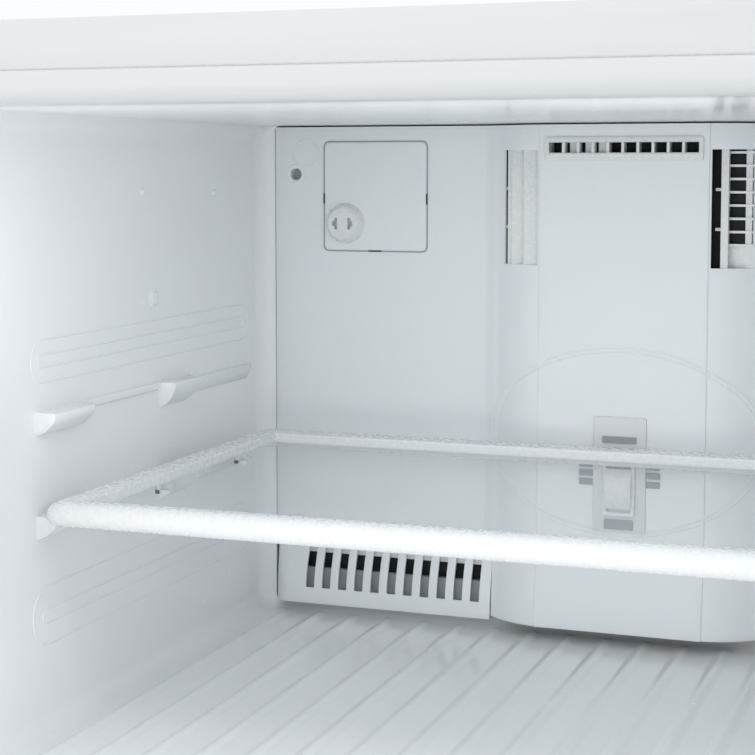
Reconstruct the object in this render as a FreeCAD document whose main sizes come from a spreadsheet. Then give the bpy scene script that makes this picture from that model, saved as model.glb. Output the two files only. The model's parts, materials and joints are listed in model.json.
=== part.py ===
import FreeCAD, Part
import Sketcher

import math
import os
import re

from FreeCAD import Placement, Rotation, Vector

# Top freezer refrigerator, in millimetres.
# The origin is on the floor under the middle of the cabinet, +Z is up and the doors face -Y.
# Both doors are hinged on the right and stand open by open_angle.

doc = FreeCAD.newDocument("top_freezer_refrigerator")
sheet = doc.addObject("Spreadsheet::Sheet", "sizes")

SIZES = {
    # cabinet
    "cab_width": 755, "cab_depth": 660, "cab_height": 1680, "steel": 1, "shell_bottom": 26,
    "wall_side": 47.5, "wall_top": 50, "wall_back": 70, "liner": 2, "lip_width": 21, "lip_depth": 12,
    "fit_gap": 0.3, "mouth_radius": 9, "corner_radius": 14, "cold_floor": 130,
    # freezer compartment and the cover in front of its cooling coil
    "freezer_height": 430, "evap_space": 60, "cover_wall": 2.5, "cover_side": 14, "cover_top": 3,
    "cover_foot": 66, "duct_depth": 24, "duct_half": 69.5, "duct_shoulder": 112, "lip_slope": 14,
    "plate_size": 96, "plate_left": 270.3, "plate_drop": 13.5, "socket_radius": 18, "socket_face": 14,
    "socket_reach": 11, "port_radius": 5.3, "vent_width": 130, "vent_height": 20, "vent_drop": 11.5,
    "vent_cells": 10, "louvre_drop": 22, "louvre_height": 95, "louvre_width": 32, "slot_pitch": 15.2,
    "slot_width": 8, "slot_count": 11, "rib_pitch": 32.3, "rib_width": 12, "rib_rise": 3,
    # freezer shelf
    "shelf_clearance": 14, "shelf_half": "=cab_width / 2 - wall_side - shelf_clearance",
    "shelf_drop": 262, "shelf_front": 410, "shelf_rear_gap": 7,
    "shelf_rear": "=duct_depth + shelf_rear_gap", "shelf_rim": 27,
    "shelf_rear_rim": 38, "shelf_board": 14, "rail_height": 16, "rail_depth": 21, "glass": 4,
    "lug_height": 19, "lug_reach": 20, "lug_pitch": 72, "lug_start": 387, "front_lug": 65,
    "rear_lug": 55, "lug_gap": 117,
    # temperature control on the duct
    "label_width": 46, "label_height": 98, "label_drop": 238, "slide_width": 26, "slide_length": 52,
    "slide_drop": 273, "knob_height": 34, "knob_reach": 7,
    # cooling parts behind the cover
    "coil_half": 250, "coil_rows": 6, "coil_pitch": 25, "coil_tube": 4, "coil_lift": 48, "fins": 26,
    "fan_radius": 46, "fan_hub": 14, "fan_lift": 265, "heater_radius": 4.5,
    # fridge compartment
    "divider": 60,
    "fridge_height": "=cab_height - wall_top - freezer_height - divider - cold_floor",
    "crisper_top": 330, "crisper_height": 190,
    "crisper_depth": 280, "crisper_wall": 2.5, "crisper_gap": 6, "glass_shelf_pitch": 240,
    "fridge_shelf_front": 100, "fridge_shelf_depth": 400, "dial_radius": 24, "dial_reach": 16,
    # door switches
    "switch_radius": 5, "switch_reach": 8, "switch_travel": 6, "switch_drop": 60,
    # machine compartment
    "machine_height": 230, "machine_depth": 220, "step_foam": 35, "deck_height": 42,
    "pump_radius": 82, "pump_height": 150, "roller_radius": 20, "roller_width": 14,
    "roller_inset": 59.5, "roller_side": "=cab_width / 2 - roller_inset", "leg_radius": 16,
    # doors
    "door_thick": 62, "door_gap": 12, "door_split": 10, "door_skin": 1.2, "hinge_inset": 20,
    "open_angle": 140, "gasket_inset": 5.5, "gasket_free": "=cab_width / 2 - gasket_inset",
    "gasket_pin_clearance": 2.5, "gasket_hinged": "=cab_width / 2 - hinge_inset - gasket_pin_clearance",
    "gasket_margin": 4,
    "gasket_width": 18, "gasket_thick": 11.5,
    "dyke_clearance": 38, "dyke_side": "=cab_width / 2 - wall_side - dyke_clearance",
    "dyke_width": 34, "dyke_depth": 44, "dyke_gap": 8, "bin_depth": 92, "bin_wall": 2.5,
    "bin_lift": 12, "freezer_bin_pitch": 180, "freezer_bin_height": 70, "fridge_bin_pitch": 250,
    "fridge_bin_height": 110, "tray_height": 36, "tray_drop": 182, "lid_drop": 48,
    "freezer_handle": 266, "fridge_handle": 430, "handle_end": 24, "handle_reach": 46,
    "handle_bar": 24, "handle_inset": 52,
    "hinge_plate": 4, "pin_radius": 5, "toe_height": 62,
}

for row, (alias, value) in enumerate(SIZES.items(), start=1):
    sheet.set(f"A{row}", alias)
    sheet.set(f"B{row}", str(value))
    sheet.setAlias(f"B{row}", alias)
doc.recompute()

ALIAS = re.compile(r"\b(" + "|".join(sorted(SIZES, key=len, reverse=True)) + r")\b")

# Planes that the pieces are placed from, as expressions on the sheet.
SIDE = "(cab_width / 2)"
FRONT = "(-cab_depth / 2)"
REAR = "(cab_depth / 2)"
INNER = "(cab_width / 2 - wall_side)"
BACK = "(cab_depth / 2 - wall_back)"
COVER = "(cab_depth / 2 - wall_back - evap_space)"
CEILING = "(cab_height - wall_top)"
FLOOR = "(cab_height - wall_top - freezer_height)"
COLD_TOP = "(cab_height - wall_top - freezer_height - divider)"
COLD_FLOOR = "(cab_height - wall_top - freezer_height - divider - fridge_height)"
MACHINE = "(cab_depth / 2 - machine_depth)"
STEP_BACK = "(cab_depth / 2 - machine_depth - step_foam)"
STEP_TOP = "(machine_height + step_foam)"
HINGE_X = "(cab_width / 2 - hinge_inset)"
HINGE_Y = "(-cab_depth / 2 - door_gap - door_thick / 2)"
SPLIT = "(cab_height - wall_top - freezer_height - divider / 2)"
ANGLES = {"x": Rotation(Vector(0, 1, 0), 90), "y": Rotation(Vector(1, 0, 0), -90), "z": Rotation()}

nodes = []


def size(alias):
    """The value of one cell of the sheet."""
    return float(sheet.get(alias))


def value(text):
    """The number that an expression on the sheet comes to."""
    return float(sheet.evalExpression(ALIAS.sub(r"sizes.\1", str(text))))


def bind(thing, prop, text):
    """Ties one property of a document object to an expression on the sheet."""
    thing.setExpression(prop, ALIAS.sub(r"sizes.\1", str(text)))


def place(thing, corner, turn=None):
    """Puts an object at a point given by three expressions, after an optional fixed turn."""
    if turn is not None:
        thing.Placement = Placement(Vector(), turn)
    for axis, text in zip("xyz", corner):
        bind(thing, f"Placement.Base.{axis}", text)
    return thing


def box(name, x, y, z, turn=None):
    """A block between two limits along each axis."""
    block = doc.addObject("Part::Box", name)
    for prop, (low, high) in zip(("Length", "Width", "Height"), (x, y, z)):
        bind(block, prop, f"({high}) - ({low})")
    return place(block, (x[0], y[0], z[0]), turn)


def rod(name, start, radius, length, axis="z"):
    """A cylinder that runs from a point along +X, +Y or +Z."""
    cylinder = doc.addObject("Part::Cylinder", name)
    bind(cylinder, "Radius", radius)
    bind(cylinder, "Height", length)
    return place(cylinder, start, ANGLES[axis])


def fuse(name, shapes):
    """One solid made of touching or overlapping shapes."""
    joined = doc.addObject("Part::MultiFuse", name)
    joined.Shapes = shapes
    joined.Refine = True
    return joined


def group(name, shapes):
    """Separate solids kept together in one object."""
    kept = doc.addObject("Part::Compound", name)
    kept.Links = shapes
    return kept


def cut(name, base, tools):
    """A shape with other shapes taken out of it."""
    result = doc.addObject("Part::Cut", name)
    result.Base = base
    result.Tool = tools[0] if len(tools) == 1 else group(f"{name}_tools", tools)
    return result


def round_edges(name, base, radius, chosen):
    """Rounds the edges of a shape that a test on the edge picks."""
    doc.recompute()
    picked = [(i, radius, radius) for i, edge in enumerate(base.Shape.Edges, start=1) if chosen(edge)]
    rounded = doc.addObject("Part::Fillet", name)
    rounded.Base = base
    rounded.Edges = picked
    return rounded


def runs_along(edge, axis):
    """Whether an edge is straight and lies along the axis 0, 1 or 2."""
    if not isinstance(edge.Curve, Part.Line):
        return False
    return abs(abs(edge.Curve.Direction[axis]) - 1) < 1e-6


def outline(body, plane, points):
    """A closed sketch whose corners are tied to the sheet, on the body's XY, XZ or YZ plane."""
    sketch = body.newObject("Sketcher::SketchObject", f"{body.Name}_outline")
    origin = next(o for o in body.Origin.OriginFeatures if o.Role == f"{plane}_Plane")
    sketch.AttachmentSupport = (origin, [""])
    sketch.MapMode = "FlatFace"
    corners = [Vector(value(u), value(v), 0) for u, v in points]
    count = len(corners)
    for i in range(count):
        sketch.addGeometry(Part.LineSegment(corners[i], corners[(i + 1) % count]))
    for i in range(count):
        sketch.addConstraint(Sketcher.Constraint("Coincident", i, 2, (i + 1) % count, 1))
    for i, (u, v) in enumerate(points):
        sides = (("DistanceX", u, corners[i].x, -2), ("DistanceY", v, corners[i].y, -1))
        for kind, text, at, axis in sides:
            if abs(at) < 1e-9:
                sketch.addConstraint(Sketcher.Constraint("PointOnObject", i, 1, axis))
                continue
            index = sketch.addConstraint(Sketcher.Constraint(kind, -1, 1, i, 1, at))
            bind(sketch, f"Constraints[{index}]", text)
    return sketch


def profile(name, plane, points, length):
    """A padded body with a polygon outline."""
    body = doc.addObject("PartDesign::Body", name)
    sketch = outline(body, plane, points)
    pad = body.newObject("PartDesign::Pad", f"{name}_pad")
    pad.Profile = sketch
    bind(pad, "Length", length)
    body.Tip = pad
    return body


def turned(name, points):
    """A body turned about the sketch's upright axis from a half outline of radius and height."""
    body = doc.addObject("PartDesign::Body", name)
    sketch = outline(body, "XZ", points)
    turn = body.newObject("PartDesign::Revolution", f"{name}_turn")
    turn.Profile = sketch
    turn.ReferenceAxis = (sketch, ["V_Axis"])
    turn.Angle = 360
    body.Tip = turn
    return body


def node(thing, label):
    """Names the piece that is written to parts/label.step."""
    thing.Label = label
    nodes.append(thing)
    return thing


# ---------------------------------------------------------------- cabinet

def opening(name, low, high):
    """The front frame of a compartment: a solid plastic lip round its mouth."""
    return box(f"{name}_block", (f"-{INNER} - lip_width", f"{INNER} + lip_width"),
               (FRONT, f"{FRONT} + lip_depth"), (f"{low} - lip_width", f"{high} + lip_width"))


def mouth_edge(low, high):
    """A test that picks the front edges round the mouth of a compartment."""
    front, half = value(FRONT), value(INNER)
    floor, top = value(low), value(high)

    def chosen(edge):
        bounds = edge.BoundBox
        return (abs(bounds.YMin - front) < 0.01 and bounds.YLength < 0.01
                and max(abs(bounds.XMin), abs(bounds.XMax)) < half + 0.01
                and bounds.ZMin > floor - 0.01 and bounds.ZMax < top + 0.01)

    return chosen


def hollow(name, low, high, back):
    """The inside of a compartment, with its corners rounded everywhere but at the open front."""
    space = box(f"{name}_space", (f"-{INNER}", INNER), (f"{FRONT} - 5", back), (low, high))
    return round_edges(f"{name}_hollow", space, size("corner_radius"),
                       lambda edge: edge.CenterOfMass.y > value(FRONT))


def lugs(name, level, height, front, lengths):
    """Shelf supports on both side walls, at a height of the top face."""
    blocks = []
    for side in (-1, 1):
        for i, (start, length) in enumerate(lengths):
            x = (f"-{INNER} - liner / 2", f"-{INNER} + lug_reach") if side < 0 else (
                f"{INNER} - lug_reach", f"{INNER} + liner / 2")
            y = (f"{front} + {start}", f"{front} + {start} + {length}")
            blocks.append(box(f"{name}_{i}", x, y, (f"{level} - {height}", level)))
    return blocks


def freezer_liner():
    """The moulded plastic tub of the freezer, with shelf supports and floor ribs."""
    tub = box("freezer_tub", (f"-{INNER} - liner", f"{INNER} + liner"), (FRONT, f"{BACK} + liner"),
              (f"{FLOOR} - liner", f"{CEILING} + liner"))
    shell = fuse("freezer_outside", [tub, opening("freezer", FLOOR, CEILING)])
    ledge = f"({INNER} - cover_side + 1.5)"
    chamber = box("coil_chamber", (f"-{ledge}", ledge), (FRONT, BACK), (FLOOR, CEILING))
    space = fuse("freezer_inside", [hollow("freezer", FLOOR, CEILING, f"{COVER} + cover_wall"),
                                    round_edges("chamber_rounded", chamber, size("corner_radius"),
                                                lambda edge: edge.CenterOfMass.y > value(COVER))])
    shell = cut("freezer_shell", shell, [space])
    shell = round_edges("freezer_mouth", shell, size("mouth_radius"), mouth_edge(FLOOR, CEILING))
    front = f"({COVER} - lug_start)"
    level = f"({CEILING} - shelf_drop - shelf_board - fit_gap)"
    pieces = [shell]
    for i in (0, 1):
        pieces += lugs(f"freezer_lug_{i}", f"{level} + {i} * lug_pitch", "lug_height", front,
                       [("0", "front_lug"), ("front_lug + lug_gap", "rear_lug")])
    gaps = int(2 * value(f"{INNER} - 2 * corner_radius") / size("rib_pitch"))
    for i in range(gaps + 1):
        middle = f"({i} - {gaps} / 2) * rib_pitch"
        pieces.append(box(f"floor_rib_{i}", (f"{middle} - rib_width / 2", f"{middle} + rib_width / 2"),
                          (f"{FRONT} + 60", f"{COVER} - lip_slope - 8"),
                          (f"{FLOOR} - liner / 2", f"{FLOOR} + rib_rise")))
    return node(fuse("freezer_liner_solid", pieces), "freezer_liner")


def fridge_liner():
    """The tub of the fridge, stepped up at the back over the machine compartment."""
    low = box("fridge_tub_low", (f"-{INNER} - liner", f"{INNER} + liner"),
              (FRONT, f"{STEP_BACK} + liner"), (f"{COLD_FLOOR} - liner", f"{STEP_TOP} + 10"))
    high = box("fridge_tub_high", (f"-{INNER} - liner", f"{INNER} + liner"),
               (FRONT, f"{BACK} + liner"), (f"{STEP_TOP} - liner", f"{COLD_TOP} + liner"))
    outside = fuse("fridge_outside", [low, high, opening("fridge", COLD_FLOOR, COLD_TOP)])
    inside = fuse("fridge_inside", [
        hollow("fridge_low", COLD_FLOOR, f"{STEP_TOP} + 60", STEP_BACK),
        hollow("fridge_high", STEP_TOP, COLD_TOP, BACK)])
    shell = cut("fridge_shell", outside, [inside])
    shell = round_edges("fridge_mouth", shell, size("mouth_radius"), mouth_edge(COLD_FLOOR, COLD_TOP))
    pieces = [shell]
    for i in (1, 2):
        pieces += lugs(f"fridge_lug_{i}", f"{COLD_FLOOR} + crisper_top + {i} * glass_shelf_pitch",
                       "lug_height", FRONT,
                       [("fridge_shelf_front + rail_depth + 2", "320")])
    pieces += lugs("crisper_ledge", f"{COLD_FLOOR} + crisper_top - shelf_board - fit_gap", "lug_height",
                   FRONT, [("fridge_shelf_front + rail_depth + 2", "260")])
    return node(fuse("fridge_liner_solid", pieces), "fridge_liner")


def cabinet_shell():
    """The folded steel wrapper: two sides, the top and the front returns round both mouths."""
    outside = box("wrapper_outside", (f"-{SIDE}", SIDE), (FRONT, f"{REAR} - steel"),
                  ("shell_bottom", "cab_height"))
    inside = box("wrapper_inside", (f"-{SIDE} + steel", f"{SIDE} - steel"),
                 (f"{FRONT} + steel", REAR), ("shell_bottom - 1", "cab_height - steel"))
    edge = f"({INNER} + lip_width + fit_gap)"
    mouths = []
    for name, low, high in (("freezer", FLOOR, CEILING), ("fridge", COLD_FLOOR, COLD_TOP)):
        mouths.append(box(f"{name}_cutout", (f"-{edge}", edge), (f"{FRONT} - 1", f"{FRONT} + 2"),
                          (f"{low} - lip_width - fit_gap", f"{high} + lip_width + fit_gap")))
    toe = box("toe_cutout", (f"-{SIDE} + 12", f"{SIDE} - 12"), (f"{FRONT} - 1", f"{FRONT} + 2"),
              ("0", "toe_height + 4"))
    hollow_part = cut("wrapper_folded", outside, [inside])
    return node(cut("wrapper", hollow_part, mouths + [toe]), "cabinet_shell")


def cabinet_back():
    """The flat steel back, above the machine compartment."""
    return node(box("back_sheet", (f"-{SIDE}", SIDE), (f"{REAR} - steel", REAR),
                    ("machine_height", "cab_height")), "cabinet_back")


def cabinet_foam():
    """Insulation in slabs that fill the walls round both compartments."""
    out, into = f"({SIDE} - steel)", f"({INNER} + liner)"
    near, far = f"({FRONT} + lip_depth)", f"({REAR} - steel)"
    base, top = "(toe_height + 8)", "(cab_height - steel)"
    walls = [(f"-{out}", f"-{into}"), (into, out)]
    slabs = []
    for x in walls:
        slabs.append(box("foam_side", x, (near, far), ("machine_height", top)))
        slabs.append(box("foam_side_low", x, (near, f"{MACHINE}"), (base, "machine_height")))
    across = (f"-{into}", into)
    slabs += [
        box("foam_top", across, (near, far), (f"{CEILING} + liner", top)),
        box("foam_back", across, (f"{BACK} + liner", far), ("machine_height", f"{CEILING} + liner")),
        box("foam_divider", across, (near, f"{BACK} + liner"), (f"{COLD_TOP} + liner", f"{FLOOR} - liner")),
        box("foam_bottom", across, (near, f"{STEP_BACK} + liner"), (base, f"{COLD_FLOOR} - liner")),
        box("foam_step", across, (f"{STEP_BACK} + liner", MACHINE), (base, "machine_height")),
        box("foam_step_top", across, (f"{STEP_BACK} + liner", f"{BACK} + liner"),
            ("machine_height", f"{STEP_TOP} - liner"))]
    return node(group("foam_slabs", slabs), "cabinet_foam")


def base_frame():
    """The steel deck that carries the compressor, with its side rails and the sheets above it."""
    half = f"({SIDE} - steel - 1)"
    deck = box("deck", (f"-{half}", half), (f"{MACHINE} + 1", f"{REAR} - steel - 2"),
               ("deck_height - 2", "deck_height"))
    bulkhead = box("bulkhead", (f"-{half}", half), (f"{MACHINE} + 1", f"{MACHINE} + 2"),
                   ("deck_height - 2", "machine_height - 1"))
    roof = box("machine_roof", (f"-{half}", half), (f"{MACHINE} + 1", f"{REAR} - steel - 2"),
               ("machine_height - 2", "machine_height - 1"))
    rails = []
    for low, high, skirt in ((f"-{half}", f"-{half} + 22", (f"-{half}", f"-{half} + 1")),
                             (f"{half} - 22", half, (f"{half} - 1", half))):
        rails.append(box("rail", (low, high), (f"{FRONT} + 16", f"{MACHINE} + 2"),
                         ("deck_height - 4", "deck_height")))
        rails.append(box("front_skirt", skirt, (f"{FRONT} + 16", f"{MACHINE} + 2"),
                         ("shell_bottom + 2", "toe_height + 7")))
        rails.append(box("rear_skirt", skirt, (f"{MACHINE} + 1", f"{REAR} - steel - 2"),
                         ("shell_bottom + 2", "machine_height - 1")))
    front = box("front_rail", (f"-{half}", half), (f"{FRONT} + 16", f"{FRONT} + 44"),
                ("deck_height - 4", "deck_height"))
    ears = []
    for side in (-1, 1):
        for offset in ("-roller_width / 2 - 5", "roller_width / 2 + 2"):
            low = f"{side} * roller_side + {offset}"
            ears.append(box("roller_ear", (low, f"{low} + 3"), (f"{REAR} - 70", f"{REAR} - 30"),
                            ("roller_radius - 8", "deck_height - 1")))
    holes = [rod("axle_hole", (f"-{SIDE}", f"{REAR} - 50", "roller_radius"), "3 + fit_gap", "cab_width", "x")]
    return node(cut("base_drilled", fuse("base_joined", [deck, bulkhead, roof, front] + rails + ears),
                    holes), "base_frame")


# ---------------------------------------------------------------- cold air system

def duct_section(inset):
    """The corners of the air duct's section, drawn in by a wall thickness."""
    shoulder, half, depth = "duct_shoulder", "duct_half", "duct_depth"
    front = f"{COVER} - {depth} + {inset}"
    middle = f"({shoulder} + {half}) / 2"
    bulge = f"{COVER} - {depth} * 0.72 + {inset}"
    right = [(f"{shoulder} - {inset}", f"{COVER} + cover_wall * 2"), (f"{shoulder} - {inset}", COVER),
             (f"{middle} - {inset} * 0.8", bulge), (f"{half} - {inset} * 0.3", front)]
    left = [(f"-({x})", y) for x, y in reversed(right)]
    return right + left


def evaporator_cover():
    """The moulded cover over the coil, with the fan duct standing out down its middle."""
    foot, top = f"({FLOOR} + cover_foot)", f"({CEILING} - cover_top)"
    half = f"({INNER} - cover_side)"
    sheet_part = box("cover_sheet", (f"-{half}", half), (COVER, f"{COVER} + cover_wall"), (foot, top))
    corners = round_edges("cover_rounded", sheet_part, 6,
                          lambda edge: runs_along(edge, 1) and edge.CenterOfMass.z > value(foot) + 1)
    low = f"({FLOOR} + rib_rise + 8)"
    outer = place(profile("duct_outer", "XY", duct_section("0"), f"{top} - {low}"), ("0", "0", low))
    inner = place(profile("duct_inner", "XY", duct_section("cover_wall"), f"{top} - {low} - 2 * cover_wall"),
                  ("0", "0", f"{low} + cover_wall"))
    solid = fuse("cover_joined", [corners, outer])
    drop = "plate_drop"
    tools = [inner]
    tools.append(box("vent_hole", ("-vent_width / 2 + 2", "vent_width / 2 - 2"),
                     (f"{COVER} - duct_depth - 1", f"{COVER} - duct_depth + cover_wall + 1"),
                     (f"{CEILING} - vent_drop - vent_height + 2", f"{CEILING} - vent_drop - 2")))
    for side in (-1, 1):
        reach = ("duct_half + 2", "duct_half + 2 + louvre_width")
        x = reach if side > 0 else (f"-({reach[1]})", f"-({reach[0]})")
        tools.append(box("louvre_hole", x, (f"{COVER} - duct_depth - 1", f"{COVER} + 6"),
                         (f"{CEILING} - louvre_drop - louvre_height", f"{CEILING} - louvre_drop")))
    tools.append(box("plate_pocket", ("-plate_left", "-plate_left + plate_size"),
                     (f"{COVER} - 1", f"{COVER} + 1.2"),
                     (f"{CEILING} - {drop} - plate_size", f"{CEILING} - {drop}")))
    tools.append(rod("port_hole", ("-plate_left - 26.5", f"{COVER} - 1", f"{CEILING} - {drop} - 29"),
                     "port_radius", "cover_wall + 2", "y"))
    tools.append(box("slide_hole", ("-slide_width / 2 + 4", "slide_width / 2 - 4"),
                     (f"{COVER} - duct_depth - 1", f"{COVER} - duct_depth + cover_wall + 1"),
                     (f"{CEILING} - slide_drop - slide_length + 4", f"{CEILING} - slide_drop - 4")))
    return node(cut("cover_pierced", solid, tools), "evaporator_cover")


def ice_maker_plate():
    """The blank plate over the ice maker's connections."""
    gap = "fit_gap * 1.5"
    left, top = "-plate_left", f"({CEILING} - plate_drop)"
    plate = box("plate_blank", (f"{left} + {gap}", f"{left} + plate_size - {gap}"),
                (f"{COVER} - 0.3", f"{COVER} + 1.2"), (f"{top} - plate_size + {gap}", f"{top} - {gap}"))
    rounded = round_edges("plate_rounded", plate, 3.5, lambda edge: runs_along(edge, 1))
    hole = rod("socket_seat", ("-plate_left + 20.6", f"{COVER} - 2", f"{top} - 71.5"),
               "socket_face + fit_gap", "6", "y")
    return node(cut("plate_cut", rounded, [hole]), "ice_maker_plate")


def ice_maker_socket():
    """The round plug socket for an ice maker: a boss on a wide foot with two T slots."""
    at = ("-plate_left + 20.6", f"{COVER} + 1.1", f"({CEILING} - plate_drop) - 71.5")
    points = [("0", "0"), ("socket_face", "0"), ("socket_face", "1.5"), ("socket_radius", "1.5"),
              ("socket_face + 1", "socket_reach - 2"), ("socket_face - 1", "socket_reach"),
              ("0", "socket_reach")]
    boss = place(turned("socket_boss", points), at, Rotation(Vector(1, 0, 0), 90))
    slots = []
    sunk = (f"{COVER} - socket_reach", f"{COVER} - socket_reach + 9")
    for side in (-1, 1):
        x, z = f"{at[0]} + {side} * 6", at[2]
        slots.append(box("socket_slot", (f"{x} - 1.2", f"{x} + 1.2"), sunk, (f"{z} - 5", f"{z} + 5")))
        low, high = (f"{x} - 3.4", x) if side < 0 else (x, f"{x} + 3.4")
        slots.append(box("socket_tab", (low, high), sunk, (f"{z} - 2.2", f"{z} + 2.2")))
    return node(cut("socket_cut", boss, slots), "ice_maker_socket")


def top_air_grille():
    """The framed row of air cells at the head of the duct."""
    front = f"({COVER} - duct_depth)"
    high = f"({CEILING} - vent_drop)"
    frame = box("grille_frame", ("-vent_width / 2", "vent_width / 2"), (f"{front} - 2.5", front),
                (f"{high} - vent_height", high))
    body = box("grille_body", ("-vent_width / 2 + 2.4", "vent_width / 2 - 2.4"), (front, f"{front} + 10"),
               (f"{high} - vent_height + 2.4", f"{high} - 2.4"))
    cells = []
    pitch = "((vent_width - 8) / vent_cells)"
    for i in range(int(size("vent_cells"))):
        left = f"-vent_width / 2 + 4 + {i} * {pitch} + 0.8"
        cells.append(box(f"cell_{i}", (left, f"{left} + {pitch} - 1.6"), (f"{front} - 4", f"{front} + 12"),
                         (f"{high} - vent_height / 2 - 4.5", f"{high} - vent_height / 2 + 4.5")))
    return node(cut("grille_cut", fuse("grille_joined", [frame, body]), cells), "top_air_grille")


def side_louvres():
    """Upright vanes with cross bars in the openings on both sides of the duct."""
    high, low = f"({CEILING} - louvre_drop - fit_gap)", f"({CEILING} - louvre_drop - louvre_height + fit_gap)"
    units = []
    for side in (-1, 1):
        pieces = []

        def limits(near, far):
            inner, outer = f"duct_half + 2 + {near}", f"duct_half + 2 + {far}"
            return (inner, outer) if side > 0 else (f"-({outer})", f"-({inner})")

        for i in range(4):
            start = f"fit_gap + {i} * (louvre_width - 2 * fit_gap - 3) / 3"
            front = f"{COVER} - duct_depth * (0.93 - 0.26 * {i})"
            pieces.append(box(f"vane_{i}", limits(start, f"{start} + 3"), (front, f"{COVER} + 5"),
                              (low, high)))
        for k in range(8):
            level = f"{low} + {k} * (louvre_height - 2 * fit_gap - 2) / 7"
            pieces.append(box(f"bar_{k}", limits("fit_gap", "louvre_width - fit_gap"),
                              (f"{COVER} - duct_depth * 0.1", f"{COVER} + 4"), (level, f"{level} + 2")))
        units.append(fuse("louvre_unit", pieces))
    return node(group("louvre_pair", units), "side_louvres")


def return_air_grille():
    """The flared strip at the foot of the cover, with upright return air slots on each side."""
    low, high = f"({FLOOR} + rib_rise + 6)", f"({FLOOR} + cover_foot - fit_gap)"
    half = f"({INNER} - cover_side - 2)"
    wall = "cover_wall"
    start = "(duct_shoulder + fit_gap)"
    bulge = f"{COVER} - lip_slope"
    section = [(bulge, low), (f"{bulge} + {wall}", low), (f"{bulge} + {wall}", f"{low} + 16"),
               (f"{COVER} + {wall}", high), (COVER, high), (bulge, f"{low} + 18")]
    units = []
    for side in (-1, 1):
        strip = profile("return_strip", "YZ", section, f"{half} - {start}")
        strip = place(strip, (start if side > 0 else f"-{half}", "0", "0"))
        slots = []
        for i in range(int(size("slot_count"))):
            left = f"{start} + 10 + {i} * slot_pitch"
            x = (left, f"{left} + slot_width") if side > 0 else (f"-({left}) - slot_width", f"-({left})")
            slots.append(box(f"return_slot_{i}", x, (f"{COVER} - 40", f"{COVER} + 20"),
                             (f"{low} + 9", f"{high} - 8")))
        units.append(cut("return_unit", strip, slots))
    return node(group("return_pair", units), "return_air_grille")


def temperature_panel():
    """The label plate on the duct, with the raised bezel that guides the slider."""
    front = f"({COVER} - duct_depth)"
    top = f"({CEILING} - label_drop)"
    plate = box("label_plate", ("-label_width / 2", "label_width / 2"), (f"{front} - 0.6", front),
                (f"{top} - label_height", top))
    bezel = box("bezel", ("-slide_width / 2 - 3", "slide_width / 2 + 3"), (f"{front} - 2.5", front),
                (f"{CEILING} - slide_drop - slide_length - 3", f"{CEILING} - slide_drop + 3"))
    slot = box("bezel_slot", ("-slide_width / 2 + 4", "slide_width / 2 - 4"),
               (f"{front} - 4", f"{front} + 1"),
               (f"{CEILING} - slide_drop - slide_length + 4", f"{CEILING} - slide_drop - 4"))
    return node(cut("panel_cut", fuse("panel_joined", [plate, bezel]), [slot]), "temperature_panel")


def temperature_slider():
    """The slider that sets how much cold air goes down to the fridge."""
    front = f"({COVER} - duct_depth - 2.5 - fit_gap)"
    middle = f"({CEILING} - slide_drop - slide_length / 2)"
    cap = [(front, f"{middle} - knob_height / 2"), (front, f"{middle} + knob_height / 2"),
           (f"{front} - 2.5", f"{middle} + knob_height / 2"), (f"{front} - knob_reach", f"{middle} + 3"),
           (f"{front} - knob_reach", f"{middle} - 3"), (f"{front} - 2.5", f"{middle} - knob_height / 2")]
    knob = place(profile("slider_cap", "YZ", cap, "slide_width - 4"), ("-slide_width / 2 + 2", "0", "0"))
    stem = box("slider_stem", ("-slide_width / 2 + 6", "slide_width / 2 - 6"),
               (f"{front} - 1", f"{COVER} - duct_depth + cover_wall + 4"), (f"{middle} - 9", f"{middle} + 9"))
    return node(fuse("slider_solid", [knob, stem]), "temperature_slider")


def evaporator_coil():
    """A finned tube coil across the back of the freezer."""
    rows, fins = int(size("coil_rows")), int(size("fins"))
    middle = f"({BACK} - 24)"
    pieces = []
    for i in range(rows):
        level = f"{FLOOR} + coil_lift + {i} * coil_pitch"
        pieces.append(rod(f"coil_run_{i}", ("-coil_half", middle, level), "coil_tube", "2 * coil_half", "x"))
        if i < rows - 1:
            side = "coil_half - coil_tube" if i % 2 else "-coil_half + coil_tube"
            pieces.append(rod(f"coil_turn_{i}", (side, middle, level), "coil_tube", "coil_pitch"))
    for i in range(fins):
        left = f"-coil_half + 14 + {i} * (2 * coil_half - 29) / {fins - 1}"
        high = f"{FLOOR} + coil_lift + (coil_rows - 1) * coil_pitch + 10"
        pieces.append(box(f"fin_{i}", (left, f"{left} + 1"), (f"{middle} - 17", f"{middle} + 17"),
                          (f"{FLOOR} + coil_lift - 10", high)))
    return node(fuse("coil_solid", pieces), "evaporator_coil")


def fan_blades(name, centre, radius, hub, depth, count, axis):
    """A hub with pitched blades, made round +Z and then turned onto its axis."""
    hub_part = rod(f"{name}_hub", ("0", "0", "0"), hub, depth)
    blades = []
    for i in range(count):
        spin = Rotation(Vector(0, 0, 1), 360 * i / count)
        blade = doc.addObject("Part::Box", f"{name}_blade_{i}")
        for prop, text in (("Length", f"{radius} - {hub} / 2"), ("Width", "18"), ("Height", "1.6")):
            bind(blade, prop, text)
        pitch = Rotation(Vector(1, 0, 0), 28)
        start = Vector(value(f"{hub} / 2"), -9 * math.cos(math.radians(28)), value(depth) / 2 - 4)
        blade.Placement = Placement(Vector(), spin).multiply(Placement(start, pitch))
        blades.append(blade)
    solid = fuse(f"{name}_solid", [hub_part] + blades)
    return place(solid, centre, ANGLES[axis])


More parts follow.
